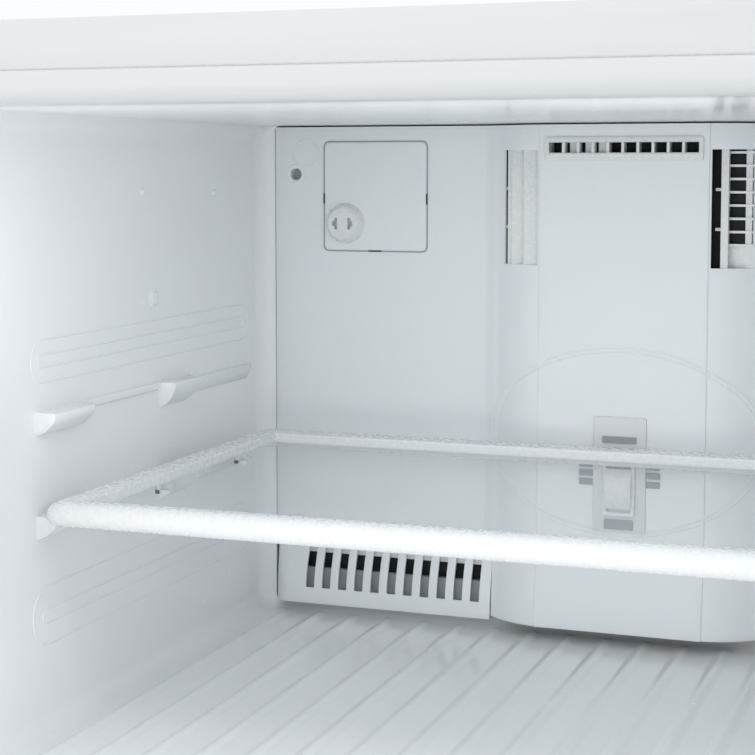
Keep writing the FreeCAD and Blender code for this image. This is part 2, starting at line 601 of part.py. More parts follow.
def evaporator_fan():
    """The fan that lifts air over the coil, and the motor behind it."""
    level = f"({FLOOR} + fan_lift)"
    motor = rod("fan_motor_can", ("0", f"{BACK} - 34", level), "24", "24", "y")
    bracket = box("fan_bracket", ("-60", "60"), (f"{BACK} - 12", f"{BACK} - 9"),
                  (f"{level} - 12", f"{level} + 12"))
    foot_left = box("bracket_foot_l", ("-60", "-56"), (f"{BACK} - 12", f"{BACK} - fit_gap"),
                    (f"{level} - 12", f"{level} + 12"))
    foot_right = box("bracket_foot_r", ("56", "60"), (f"{BACK} - 12", f"{BACK} - fit_gap"),
                     (f"{level} - 12", f"{level} + 12"))
    shaft = rod("fan_shaft", ("0", f"{BACK} - 52", level), "2.5", "20", "y")
    node(fuse("fan_motor_solid", [motor, bracket, foot_left, foot_right, shaft]), "evaporator_fan_motor")
    wheel = fan_blades("cold_fan", ("0", f"{BACK} - 54", level), "fan_radius", "fan_hub", "14", 5, "y")
    bore = rod("cold_fan_bore", ("0", f"{BACK} - 56", level), "2.5 + fit_gap", "18", "y")
    node(cut("cold_fan_cut", wheel, [bore]), "evaporator_fan_blade")


def defrost_parts():
    """The heater under the coil and the trough that carries melted frost away."""
    y = f"({BACK} - 24)"
    tube = rod("heater_tube", ("-coil_half", y, f"{FLOOR} + 26"), "heater_radius", "2 * coil_half", "x")
    ends = [rod("heater_end", (x, y, f"{FLOOR} + 26"), "heater_radius + 2.5", "14", "x")
            for x in ("-coil_half - 8", "coil_half - 6")]
    node(fuse("heater_solid", [tube] + ends), "defrost_heater")
    shape = [(f"{y} - 19", f"{FLOOR} + 14"), (f"{y} - 19", f"{FLOOR} + 12"), (f"{y} - 4", f"{FLOOR} + 3"),
             (f"{y} + 4", f"{FLOOR} + 3"), (f"{y} + 19", f"{FLOOR} + 12"), (f"{y} + 19", f"{FLOOR} + 14"),
             (f"{y} + 3", f"{FLOOR} + 5"), (f"{y} - 3", f"{FLOOR} + 5")]
    trough = profile("trough", "YZ", shape, "2 * coil_half + 20")
    node(place(trough, ("-coil_half - 10", "0", "0")), "drain_trough")


# ---------------------------------------------------------------- shelves, drawers and controls

def framed_shelf(name, half, front, rear, level, side_rim, rear_rim, rail):
    """A moulded frame with a deep front rail, and the glass pane that sits in it."""
    left_right = (f"-{half}", half)
    board = box(f"{name}_board", left_right, (front, rear), (f"{level} - shelf_board", level))
    nose = box(f"{name}_nose", left_right, (front, f"{front} + rail_depth"), (f"{level} - {rail}", level))
    rounded = round_edges(f"{name}_rounded", fuse(f"{name}_joined", [board, nose]), 5,
                          lambda edge: runs_along(edge, 0) and abs(edge.CenterOfMass.y - value(front)) < 0.01)
    pane = (f"-{half} + {side_rim}", f"{half} - {side_rim}")
    depth = (f"{front} + rail_depth + 5", f"{rear} - {rear_rim}")
    window = box(f"{name}_window", pane, depth, (f"{level} - shelf_board - 1", f"{level} + 1"))
    groove = box(f"{name}_groove", (f"{pane[0]} - 5", f"{pane[1]} + 5"),
                 (f"{depth[0]} - 5", f"{depth[1]} + 5"), (f"{level} - 2 - glass", f"{level} - 2"))
    frame = cut(f"{name}_frame", rounded, [window, groove])
    sheet_of_glass = box(f"{name}_glass", (f"{pane[0]} - 5 + fit_gap", f"{pane[1]} + 5 - fit_gap"),
                         (f"{depth[0]} - 5 + fit_gap", f"{depth[1]} + 5 - fit_gap"),
                         (f"{level} - 2 - glass + 0.05", f"{level} - 2 - 0.05"))
    return frame, sheet_of_glass


def shelves():
    """The freezer shelf, two fridge shelves and the cover over the crispers."""
    frame, pane = framed_shelf("freezer_shelf", "shelf_half", f"({COVER} - shelf_front)",
                               f"({COVER} - shelf_rear)", f"({CEILING} - shelf_drop)", "shelf_rim",
                               "shelf_rear_rim", "rail_height")
    node(frame, "freezer_shelf_frame")
    node(pane, "freezer_shelf_glass")
    frames, panes = [], []
    near = f"({FRONT} + fridge_shelf_front)"
    for i in (1, 2):
        lug = f"{COLD_FLOOR} + crisper_top + {i} * glass_shelf_pitch"
        frame, pane = framed_shelf(f"fridge_shelf_{i}", f"({INNER} - 6)", near,
                                   f"({near} + fridge_shelf_depth)", f"({lug} + shelf_board + fit_gap)",
                                   "20", "20", "rail_height")
        frames.append(frame)
        panes.append(pane)
    frame, pane = framed_shelf("crisper_cover", f"({INNER} - 3)", near, f"({STEP_BACK} - 4)",
                               f"({COLD_FLOOR} + crisper_top)", "20", "20", "shelf_board")
    frames.append(frame)
    panes.append(pane)
    node(group("fridge_frames", frames), "fridge_shelf_frames")
    node(group("fridge_panes", panes), "fridge_shelf_glasses")


def crisper(name, low, high):
    """A clear drawer with a pull lip, open at the top."""
    x = (low, high)
    front = f"({FRONT} + fridge_shelf_front + 12)"
    back = f"({front} + crisper_depth)"
    base = f"({COLD_FLOOR} + 4)"
    top = f"({base} + crisper_height)"
    outside = box(f"{name}_outside", x, (front, back), (base, top))
    rounded = round_edges(f"{name}_rounded", outside, 10,
                          lambda edge: runs_along(edge, 2) or edge.CenterOfMass.z < value(base) + 0.01)
    inside = box(f"{name}_inside", (f"{low} + crisper_wall", f"{high} - crisper_wall"),
                 (f"{front} + crisper_wall", f"{back} - crisper_wall"),
                 (f"{base} + crisper_wall", f"{top} + 1"))
    hollowed = round_edges(f"{name}_hollow", inside, 8,
                           lambda edge: runs_along(edge, 2)
                           or edge.CenterOfMass.z < value(base) + size("crisper_wall") + 0.01)
    lip = box(f"{name}_lip", (f"{low} + 40", f"{high} - 40"), (f"{front} - 22", f"{front} + 1"),
              (f"{top} - 14", f"{top} - 10"))
    hook = box(f"{name}_hook", (f"{low} + 40", f"{high} - 40"), (f"{front} - 22", f"{front} - 19"),
               (f"{top} - 34", f"{top} - 10"))
    shell = cut(f"{name}_shell", rounded, [hollowed])
    return fuse(f"{name}_solid", [shell, lip, hook])


def drawers():
    """Two crisper drawers side by side."""
    node(crisper("left_crisper", f"-({INNER} - lug_reach - 4)", "-crisper_gap / 2"), "crisper_drawer_left")
    node(crisper("right_crisper", "crisper_gap / 2", f"({INNER} - lug_reach - 4)"), "crisper_drawer_right")


def switch_axis(high):
    """Where a door switch sits across and up the front: in the left side lip, inside the seal."""
    return f"-({INNER} + lip_width / 2)", f"{high} - switch_drop"


def door_switches():
    """Sprung plungers in the side lip of each mouth; they stand out while a door is open."""
    for name, high in (("freezer", CEILING), ("fridge", COLD_TOP)):
        x, z = switch_axis(high)
        stem = rod(f"{name}_stem", (x, f"{FRONT} - switch_reach", z), "switch_radius",
                   "switch_reach + lip_depth - switch_travel - 2", "y")
        node(round_edges(f"{name}_button", stem, 1.5, lambda edge: edge.CenterOfMass.y < value(FRONT)),
             f"{name}_door_switch")


def switch_bores():
    """Blind holes in the lips, one for each door switch."""
    bores = {}
    for name, high in (("freezer", CEILING), ("fridge", COLD_TOP)):
        x, z = switch_axis(high)
        bores[name] = rod(f"{name}_bore", (x, f"{FRONT} - 1", z), "switch_radius + fit_gap",
                          "lip_depth - 0.5", "y")
    return bores


def fridge_controls():
    """The housing under the fridge ceiling, with its lamp and its turning dial."""
    x = ("-130", "130")
    y = (f"{FRONT} + 90", f"{FRONT} + 250")
    top = f"({COLD_TOP} - fit_gap)"
    shell = box("control_outside", x, y, (f"{top} - 46", top))
    rounded = round_edges("control_rounded", shell, 10,
                          lambda edge: runs_along(edge, 2) or edge.CenterOfMass.z < value(top) - 45)
    inside = box("control_inside", ("-126", "126"), (f"{y[0]} + 4", f"{y[1]} - 4"),
                 (f"{top} - 42", f"{top} - 3"))
    window = box("lamp_window", ("-10", "110"), (f"{y[0]} + 30", f"{y[1]} - 20"),
                 (f"{top} - 50", f"{top} - 40"))
    level = f"({top} - 24)"
    bore = rod("dial_bore", ("-70", f"{y[0]} - 1", level), "5 + fit_gap", "8", "y")
    node(cut("control_cut", rounded, [inside, window, bore]), "fridge_control_housing")
    bulb = rod("bulb", ("20", f"{y[0]} + 80", f"{top} - 22"), "13", "52", "x")
    cap = rod("bulb_cap", ("72", f"{y[0]} + 80", f"{top} - 22"), "9", "20", "x")
    glass = round_edges("bulb_glass", bulb, 8, lambda edge: edge.CenterOfMass.x < 21)
    node(fuse("bulb_solid", [glass, cap]), "fridge_lamp")
    disc = rod("dial_disc", ("-70", f"{y[0]} - dial_reach", level), "dial_radius - 4",
               "dial_reach - fit_gap", "y")
    soft = round_edges("dial_soft", disc, 2, lambda edge: edge.CenterOfMass.y < value(y[0]) - 5)
    shaft = rod("dial_shaft", ("-70", f"{y[0]} - 2", level), "5", "12", "y")
    pointer = box("dial_pointer", ("-71.5", "-68.5"),
                  (f"{y[0]} - dial_reach - 3", f"{y[0]} - dial_reach + 1"),
                  (f"{level} - 16", f"{level} + 17"))
    node(fuse("dial_solid", [soft, shaft, pointer]), "fridge_control_dial")


# ---------------------------------------------------------------- machine compartment

def compressor_set():
    """The hermetic compressor, its rubber feet and the refrigerant lines."""
    x, y = "-170", f"({MACHINE} + machine_depth / 2)"
    deck = "deck_height"
    can = rod("pump_can", (x, y, f"{deck} + 16"), "pump_radius", "pump_height - 16")
    can = round_edges("pump_rounded", can, 30, lambda edge: True)
    plate = box("pump_plate", (f"{x} - 95", f"{x} + 95"), (f"{y} - 60", f"{y} + 60"),
                (f"{deck} + 12", f"{deck} + 15"))
    post = rod("pump_post", (x, y, f"{deck} + 12"), "50", "20")
    box_part = box("pump_terminal", (f"{x} + 70", f"{x} + 100"), (f"{y} - 28", f"{y} + 28"),
                   (f"{deck} + 50", f"{deck} + 110"))
    holes, feet = [], []
    for dx in (-1, 1):
        for dy in (-1, 1):
            at = (f"{x} + {dx} * 84", f"{y} + {dy} * 46")
            holes.append(rod("foot_hole", (*at, f"{deck} + 11"), "6.3", "5"))
            low = rod("foot_low", (*at, deck), "12", "12 - 0.02")
            neck = rod("foot_neck", (*at, f"{deck} + 11"), "6", "6")
            high = rod("foot_high", (*at, f"{deck} + 15.02"), "10", "4")
            feet.append(fuse("foot", [low, neck, high]))
    node(cut("pump_solid", fuse("pump_joined", [can, plate, post, box_part]), holes), "compressor")
    node(group("pump_feet", feet), "compressor_mounts")
    top = f"{deck} + 120"
    lines = [
        rod("line_up", (f"{x}", f"{y} + pump_radius + 9", f"{deck} + 60"), "4",
            "machine_height - deck_height - 76"),
        rod("line_stub", (f"{x}", f"{y} + pump_radius + 0.1", f"{deck} + 64"), "4", "9", "y"),
        rod("line_across", (f"{x}", f"{y} + pump_radius + 9", top), "4", "220", "x"),
        rod("line_drop", (f"{x} + 216", f"{y} + pump_radius + 9", f"{top} - 40"), "4", "44"),
        rod("filter_drier", (f"{x} + 216", f"{y} + pump_radius + 9", f"{top} - 36"), "9", "34")]
    node(fuse("lines_solid", lines), "refrigerant_lines")


def condenser_set():
    """The condenser coil and the fan that draws air through it, beside the compressor."""
    left = "60"
    y = (f"{MACHINE} + 22", f"{REAR} - 40")
    base = "deck_height + 34"
    pieces = []
    for k in range(6):
        level = f"{base} + {k} * 21"
        for i in range(3):
            x = f"{left} + 20 + {i} * 50"
            pieces.append(rod(f"tube_{k}_{i}", (x, y[0], level), "3", f"({y[1]}) - ({y[0]})", "y"))
    for j in range(9):
        at = f"{y[0]} + 8 + {j} * (({y[1]}) - ({y[0]}) - 17) / 8"
        pieces.append(box(f"plate_{j}", (left, f"{left} + 140"), (at, f"{at} + 1"),
                          (f"{base} - 8", f"{base} + 113")))
    node(fuse("condenser_solid", pieces), "condenser_coil")
    level = "deck_height + 92"
    mid = f"({MACHINE} + machine_depth / 2)"
    motor = rod("motor_can", ("6", mid, level), "22", "26", "x")
    arms = [box("motor_arm", ("10", "14"), (f"{mid} - 5", f"{mid} + 5"), ("deck_height", f"{level} - 10")),
            box("motor_foot", ("0", "30"), (f"{mid} - 16", f"{mid} + 16"),
                ("deck_height", "deck_height + 2"))]
    shaft = rod("motor_shaft", ("-10", mid, level), "2.5", "18", "x")
    node(fuse("motor_solid", [motor, shaft] + arms), "condenser_fan_motor")
    wheel = fan_blades("warm_fan", ("-14", mid, level), "60", "14", "14", 5, "x")
    bore = rod("warm_fan_bore", ("-16", mid, level), "2.5 + fit_gap", "18", "x")
    node(cut("warm_fan_cut", wheel, [bore]), "condenser_fan_blade")


def drain_pan():
    """The open pan under the condenser that holds the melt water until it dries."""
    x, y = ("56", "250"), (f"{MACHINE} + 16", f"{REAR} - 30")
    outside = box("pan_outside", x, y, ("deck_height + 0.2", "deck_height + 22"))
    rounded = round_edges("pan_rounded", outside, 6, lambda edge: runs_along(edge, 2))
    inside = box("pan_inside", ("58.5", "247.5"), (f"{y[0]} + 2.5", f"{y[1]} - 2.5"),
                 ("deck_height + 2.7", "deck_height + 30"))
    node(cut("pan_solid", rounded, [inside]), "drain_pan")


def machine_cover():
    """The slotted panel that closes the back of the machine compartment, in three sheets round the gland."""
    rear, cutter = (f"{REAR} - 2.6", f"{REAR} - 1"), (f"{REAR} - 4", f"{REAR} + 1")
    low, high = "deck_height + 1", "machine_height - fit_gap"
    near, far, over = f"{SIDE} - 70", f"{SIDE} - 38", "deck_height + 32"
    slots = []
    for row in range(2):
        for i in range(18):
            left = f"-{SIDE} + 70 + {i} * (cab_width - 180) / 17"
            foot = f"deck_height + 30 + {row} * 70"
            slots.append(box("machine_slot", (left, f"{left} + 8"), cutter, (foot, f"{foot} + 50")))
    main = cut("machine_main", box("machine_sheet", (f"-{SIDE} + 6", near), rear, (low, high)), slots)
    above = box("machine_strip", (near, f"{SIDE} - 6"), rear, (over, high))
    beside = box("machine_corner", (far, f"{SIDE} - 6"), rear, (low, over))
    node(group("machine_sheets", [main, above, beside]), "machine_cover")


def power_inlet():
    """The gland where the mains cord goes in."""
    x, z = f"({SIDE} - 54)", "(deck_height + 20)"
    flange = box("gland_flange", (f"{x} - 20", f"{x} + 20"), (f"{REAR} - 1", f"{REAR} + 1"),
                 (f"{z} - 16", f"{z} + 16"))
    body = box("gland_body", (f"{x} - 15.5", f"{x} + 15.5"), (f"{REAR} - 20", f"{REAR} - 1"),
               (f"{z} - 11.5", f"{z} + 11.5"))
    bore = rod("gland_bore", (x, f"{REAR} - 22", z), "4.5", "30", "y")
    node(cut("gland", fuse("gland_joined", [flange, body]), [bore]), "power_inlet")


def feet():
    """Two rear rollers on one axle, and two levelling legs at the front."""
    axle = rod("axle", ("-roller_side - roller_width / 2 - 8", f"{REAR} - 50", "roller_radius"), "3",
               "2 * roller_side + roller_width + 16", "x")
    wheels = []
    for side in (-1, 1):
        wheel = rod("roller", (f"{side} * roller_side - roller_width / 2", f"{REAR} - 50", "roller_radius"),
                    "roller_radius", "roller_width", "x")
        wheels.append(round_edges("roller_soft", wheel, 1.5, lambda edge: not runs_along(edge, 0)))
    node(fuse("rollers_solid", [axle] + wheels), "rear_rollers")
    legs = []
    for side in (-1, 1):
        at = (f"{side} * roller_side", f"{FRONT} + 30")
        top = "deck_height - 4.02"
        points = [("0", "0"), ("leg_radius", "0"), ("leg_radius", "7"), ("5", "10"), ("5", top), ("0", top)]
        legs.append(place(turned("leg", points), (*at, "0")))
    node(group("legs", legs), "levelling_legs")


def toe_grille():
    """The slotted kick plate below the fridge door."""
    y = (f"{FRONT} - door_gap - 8", f"{FRONT} - door_gap - 5")
    plate = box("toe_plate", (f"-{SIDE} + 8", f"{SIDE} - 8"), y, ("16", "toe_height"))
    clips = [box("toe_clip", (x, f"{x} + 24"), (y[0], f"{FRONT} + 15.9"),
                 ("deck_height + 6", "deck_height + 9"))
             for x in (f"-{SIDE} + 60", f"{SIDE} - 84")]
    slots = []
    for k in range(3):
        for i in range(11):
            left = f"-{SIDE} + 60 + {i} * (cab_width - 160) / 11"
            low = f"22 + {k} * 10"
            slots.append(box("toe_slot", (left, f"{left} + (cab_width - 160) / 11 - 10"),
                             (f"{y[0]} - 1", f"{y[1]} + 1"), (low, f"{low} + 5")))
    node(fuse("toe_solid", [cut("toe_cut", plate, slots)] + clips), "toe_grille")


# ---------------------------------------------------------------- hinges and doors

def hinge(name, level, thick, pins, back):
    """A hinge leaf screwed to the cabinet, with its pins along the door's turning axis."""
    reach = [(f"{HINGE_X} - 22", f"{HINGE_Y} - 12"), (f"{HINGE_X} + 14", f"{HINGE_Y} - 12"),
             (f"{HINGE_X} + 14", f"{HINGE_Y} + 14"), (f"{HINGE_X} + 14", back), (f"{HINGE_X} - 62", back),
             (f"{HINGE_X} - 62", f"{FRONT} - 1"), (f"{HINGE_X} - 22", f"{HINGE_Y} + 12")]
    leaf = place(profile(f"{name}_leaf", "XY", reach, thick), ("0", "0", level))
    pieces = [leaf]
    for low, length in pins:
        pieces.append(rod(f"{name}_pin", (HINGE_X, HINGE_Y, low), "pin_radius", length))
    return node(fuse(f"{name}_solid", pieces), name)


def hinges():
    """Three hinges on the right side, and the cover over the top one."""
    top = "(cab_height)"
    hinge("top_hinge", top, "hinge_plate", [(f"{top} - 16", "18")], f"({FRONT} + 70)")
    middle = f"({SPLIT} - hinge_plate / 2)"
    hinge("centre_hinge", middle, "hinge_plate", [(f"{middle} - 16", "32 + hinge_plate")], FRONT)
    low = "(toe_height + 2)"
    hinge("bottom_hinge", low, "hinge_plate", [(f"{low} + 1", "18")], FRONT)
    x = (f"{HINGE_X} - 66", f"{HINGE_X} + 18")
    y = (f"{HINGE_Y} - 18", f"{FRONT} + 76")
    cap = box("cap_outside", x, y, (f"{top} + fit_gap", f"{top} + hinge_plate + 14"))
    soft = round_edges("cap_rounded", cap, 6,
                       lambda edge: runs_along(edge, 2) or edge.CenterOfMass.z > value(top) + 10)
    inside = box("cap_inside", (f"{x[0]} + 2", f"{x[1]} - 2"), (f"{y[0]} + 2", f"{y[1]} - 2"),
                 (f"{top}", f"{top} + hinge_plate + 12"))
    node(cut("cap_solid", soft, [inside]), "hinge_cover")


# A door is made closed, with its hinge axis on the local Z axis, and is turned open as it is placed.
DOOR_FRONT = "(-door_thick / 2)"
DOOR_REAR = "(door_thick / 2)"
DOOR_RIGHT = "(hinge_inset)"
DOOR_LEFT = "(hinge_inset - cab_width)"
DOOR_MID = "(hinge_inset - cab_width / 2)"


def open_door(name, shape, label):
    """Puts a door piece on the hinge axis, turned open, and names it."""
    held = shape if shape.TypeId in ("Part::Cut", "Part::MultiFuse") else group(name, [shape])
    return node(place(held, (HINGE_X, HINGE_Y, "0"), Rotation(Vector(0, 0, 1), size("open_angle"))), label)


def door_shell(name, low, high):
    """The folded steel front of a door, with holes for the hinge pins."""
    outside = box(f"{name}_outside", (DOOR_LEFT, DOOR_RIGHT), (DOOR_FRONT, f"{DOOR_REAR} - 2"), (low, high))
    soft = round_edges(f"{name}_soft", outside, 9,
                       lambda edge: edge.CenterOfMass.y < value(DOOR_FRONT) + 0.01)
    skin = "door_skin"
    inside = box(f"{name}_inside", (f"{DOOR_LEFT} + {skin}", f"{DOOR_RIGHT} - {skin}"),
                 (f"{DOOR_FRONT} + {skin}", DOOR_REAR), (f"{low} + {skin}", f"{high} - {skin}"))
    hollowed = round_edges(f"{name}_hollow", inside, 8,
                           lambda edge: edge.CenterOfMass.y < value(f"{DOOR_FRONT} + {skin}") + 0.01)
    pin = rod(f"{name}_pin_hole", ("0", "0", f"{low} - 1"), "pin_radius + fit_gap", f"{high} - {low} + 2")
    return open_door(name, cut(f"{name}_cut", soft, [hollowed, pin]), f"{name}_shell")


def door_foam(name, low, high):
    """The insulation inside a door, with a clear bore at each hinge pin."""
    inset = "(door_skin + 0.1)"
    block = box(f"{name}_block", (f"{DOOR_LEFT} + {inset}", f"{DOOR_RIGHT} - {inset}"),
                (f"{DOOR_FRONT} + {inset}", f"{DOOR_REAR} - 2"), (f"{low} + {inset}", f"{high} - {inset}"))
    soft = round_edges(f"{name}_block_soft", block, 8,
                       lambda edge: edge.CenterOfMass.y < value(f"{DOOR_FRONT} + {inset}") + 0.01)
    bores = [rod(f"{name}_bore", ("0", "0", start), "pin_radius + 2", "24")
             for start in (f"{low}", f"{high} - 24")]
    return open_door(name, cut(f"{name}_block_cut", soft, bores), f"{name}_foam")


def door_liner(name, low, high, floor, ceiling):
    """The moulded inner face of a door: a flat sheet with a raised rim that carries the bins."""
    sheet_part = box(f"{name}_sheet", (f"{DOOR_LEFT} + 1", f"{DOOR_RIGHT} - 1"),
                     (f"{DOOR_REAR} - 2", DOOR_REAR), (f"{low} + 1", f"{high} - 1"))
    crest = f"({DOOR_REAR} + dyke_depth)"
    rim = box(f"{name}_rim", (f"{DOOR_MID} - dyke_side", f"{DOOR_MID} + dyke_side"),
              (f"{DOOR_REAR} - 2", crest), (f"{floor} + dyke_gap", f"{ceiling} - dyke_gap"))
    soft = round_edges(f"{name}_rim_soft", rim, 12,
                       lambda edge: runs_along(edge, 1) or edge.CenterOfMass.y > value(crest) - 0.01)
    well = box(f"{name}_well",
               (f"{DOOR_MID} - dyke_side + dyke_width", f"{DOOR_MID} + dyke_side - dyke_width"),
               (DOOR_REAR, f"{crest} + 1"),
               (f"{floor} + dyke_gap + dyke_width", f"{ceiling} - dyke_gap - dyke_width"))
    sunk = round_edges(f"{name}_well_soft", well, 10, lambda edge: runs_along(edge, 1))
    return open_door(name, cut(f"{name}_liner_cut", fuse(f"{name}_liner_joined", [sheet_part, soft]), [sunk]),
                     f"{name}_liner")


def gasket(name, low, high):
    """The magnetic seal round the inner face of a door.

    On the hinged side it stays on the door's side of the hinge axis, so that it swings clear of
    the cabinet. On the free side it reaches further out and leaves room for the door switch.
    """
    y = (f"{DOOR_REAR} + 0.02", f"{DOOR_REAR} + gasket_thick")
    outside = box(f"{name}_seal_out", (f"{DOOR_MID} - gasket_free", f"{DOOR_MID} + gasket_hinged"), y,
                  (f"{low} + gasket_margin", f"{high} - gasket_margin"))
    inside = box(f"{name}_seal_in", (f"{DOOR_MID} - gasket_free + gasket_width",
                                     f"{DOOR_MID} + gasket_hinged - gasket_width"),
                 (DOOR_REAR, f"{DOOR_REAR} + gasket_thick + 1"),
                 (f"{low} + gasket_margin + gasket_width", f"{high} - gasket_margin - gasket_width"))
    return open_door(name, cut(f"{name}_seal", outside, [inside]), f"{name}_gasket")


def handle(name, low, high):
    """An upright bar handle on two feet, near the edge of the door that opens."""
    x = f"({DOOR_LEFT} + handle_inset)"
    bar = box(f"{name}_bar", (f"{x} - handle_bar / 2", f"{x} + handle_bar / 2"),
              (f"{DOOR_FRONT} - handle_reach", f"{DOOR_FRONT} - handle_reach + 14"), (low, high))
    soft = round_edges(f"{name}_bar_soft", bar, 5, lambda edge: True)
    feet_parts = []
    for z in ((low, f"{low} + 34"), (f"{high} - 34", high)):
        foot = box(f"{name}_foot", (f"{x} - handle_bar / 2 + 1", f"{x} + handle_bar / 2 - 1"),
                   (f"{DOOR_FRONT} - handle_reach + 5", f"{DOOR_FRONT} - 0.02"), z)
        feet_parts.append(round_edges(f"{name}_foot_soft", foot, 4, lambda edge: runs_along(edge, 1)))
    return open_door(name, fuse(f"{name}_handle_joined", [soft] + feet_parts), f"{name}_handle")


def door_bin(name, level, tall):
    """An open bin held between the rims of a door liner."""
    side = "(dyke_side - dyke_width - fit_gap)"
    x = (f"{DOOR_MID} - {side}", f"{DOOR_MID} + {side}")
    y = (f"{DOOR_REAR} + fit_gap", f"{DOOR_REAR} + bin_depth")
    outside = box(f"{name}_out", x, y, (level, f"{level} + {tall}"))
    soft = round_edges(f"{name}_soft", outside, 9, lambda edge: edge.CenterOfMass.y > value(y[1]) - 0.01
                       and edge.CenterOfMass.z < value(level) + value(tall) - 1)
    inside = box(f"{name}_in", (f"{x[0]} + bin_wall", f"{x[1]} - bin_wall"),
                 (f"{y[0]} + bin_wall", f"{y[1]} - bin_wall"),
                 (f"{level} + bin_wall", f"{level} + {tall} + 1"))
    hollowed = round_edges(f"{name}_hollow", inside, 7, lambda edge: edge.CenterOfMass.y > value(y[1]) - 4
                           and edge.CenterOfMass.z < value(level) + value(tall) - 1)
    return cut(f"{name}_bin", soft, [hollowed])


def dairy_lid(well_top):
    """The flap over the butter tray; it hangs from its top edge and lifts."""
    side = "(dyke_side - dyke_width - 2)"
    hinge_line, reach = f"({well_top} - lid_drop)", f"({DOOR_REAR} + bin_depth)"
    outline_points = [(f"{DOOR_REAR} + 6", hinge_line), (f"{DOOR_REAR} + 9", hinge_line),
                      (f"{reach} - 5", f"{hinge_line} - 28"), (f"{reach} - 5", f"{hinge_line} - 94"),
                      (f"{reach} - 8", f"{hinge_line} - 94"), (f"{reach} - 8", f"{hinge_line} - 30"),
                      (f"{DOOR_REAR} + 6", f"{hinge_line} - 3")]
    flap = profile("dairy_flap", "YZ", outline_points, f"2 * {side}")
    place(flap, (f"{DOOR_MID} - {side}", "0", "0"))
    return open_door("dairy_flap_open", flap, "dairy_lid")


def doors():
    """The freezer door and the fridge door, with everything that swings with them."""
    frozen = ("freezer_door", f"({SPLIT} + door_split / 2)", "(cab_height - 3)", FLOOR, CEILING)
    cold = ("fridge_door", "(toe_height + 12)", f"({SPLIT} - door_split / 2)", COLD_FLOOR, COLD_TOP)
    for name, low, high, floor, ceiling in (frozen, cold):
        door_shell(name, low, high)
        door_foam(name, low, high)
        door_liner(name, low, high, floor, ceiling)
        gasket(name, low, high)
    handle("freezer_door", f"{frozen[1]} + handle_end", f"{frozen[1]} + handle_end + freezer_handle")
    handle("fridge_door", f"{cold[2]} - handle_end - fridge_handle", f"{cold[2]} - handle_end")
    well = f"({FLOOR} + dyke_gap + dyke_width)"
    bins = [door_bin(f"freezer_bin_{i}", f"{well} + bin_lift + {i} * freezer_bin_pitch",
                     "freezer_bin_height") for i in (0, 1)]
    open_door("freezer_bins", group("freezer_bin_pair", bins), "freezer_door_bins")
    well = f"({COLD_FLOOR} + dyke_gap + dyke_width)"
    well_top = f"({COLD_TOP} - dyke_gap - dyke_width)"
    bins = [door_bin(f"fridge_bin_{i}", f"{well} + bin_lift + {i} * fridge_bin_pitch",
                     "fridge_bin_height") for i in (0, 1, 2)]
    bins.append(door_bin("butter_tray", f"{well_top} - tray_drop", "tray_height"))
    open_door("fridge_bins", group("fridge_bin_set", bins), "fridge_door_bins")
    dairy_lid(well_top)


def screws():
    """The four screws that hold the machine cover."""
    heads = []
    for x in (f"-{SIDE} + 24", f"{SIDE} - 24"):
        for z in ("deck_height + 30", "machine_height - 20"):
            heads.append(rod("rear_screw", (x, f"{REAR} - 0.98", z), "4", "2.4", "y"))
    return node(group("rear_screws", heads), "cabinet_screws")


def main():
    """Builds every piece, checks them all and writes one file for each."""
    bores = switch_bores()
    for build, name in ((freezer_liner, "freezer"), (fridge_liner, "fridge")):
        whole = build()
        nodes.remove(whole)
        whole.Label = f"{name}_liner_whole"
        node(cut(f"{name}_liner_bored", whole, [bores[name]]), f"{name}_liner")
    cabinet_shell()
    cabinet_back()
    cabinet_foam()
    base_frame()
    evaporator_cover()
    ice_maker_plate()
    ice_maker_socket()
    top_air_grille()
    side_louvres()
    return_air_grille()
    temperature_panel()
    temperature_slider()
    evaporator_coil()
    evaporator_fan()
    defrost_parts()
    shelves()
    drawers()
    door_switches()
    fridge_controls()
    compressor_set()
    condenser_set()
    drain_pan()
    machine_cover()
    power_inlet()
    feet()
    toe_grille()
    hinges()
    doors()
    screws()
    doc.recompute()
    faults = [f"{o.Label}: {', '.join(o.State)}" for o in doc.Objects if {"Invalid", "Error"} & set(o.State)]
    for piece in nodes:
        shape = piece.Shape
        if shape.isNull() or not shape.isValid() or not shape.Solids:
            faults.append(f"{piece.Label}: bad shape")
    if faults:
        raise RuntimeError("\n".join(faults))
    labels = [piece.Label for piece in nodes]
    if len(set(labels)) != len(labels) or len(labels) > 60:
        raise RuntimeError(f"{len(labels)} pieces, {len(set(labels))} names")
    os.makedirs("parts", exist_ok=True)
    for piece in nodes:
        piece.Shape.exportStep(f"parts/{piece.Label}.step")
        box_mm = piece.Shape.BoundBox
        spans = (f"{axis} {getattr(box_mm, axis + 'Min'):8.1f} {getattr(box_mm, axis + 'Max'):8.1f}"
                 for axis in "XYZ")
        print(f"{piece.Label:24s} solids {len(piece.Shape.Solids):2d}  {'  '.join(spans)}")
    print(len(nodes), "pieces")


main()
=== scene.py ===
"""Top freezer refrigerator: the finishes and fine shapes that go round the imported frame."""

import json
import logging
import math
from dataclasses import dataclass
from enum import Enum
from typing import Callable, Iterable, Sequence

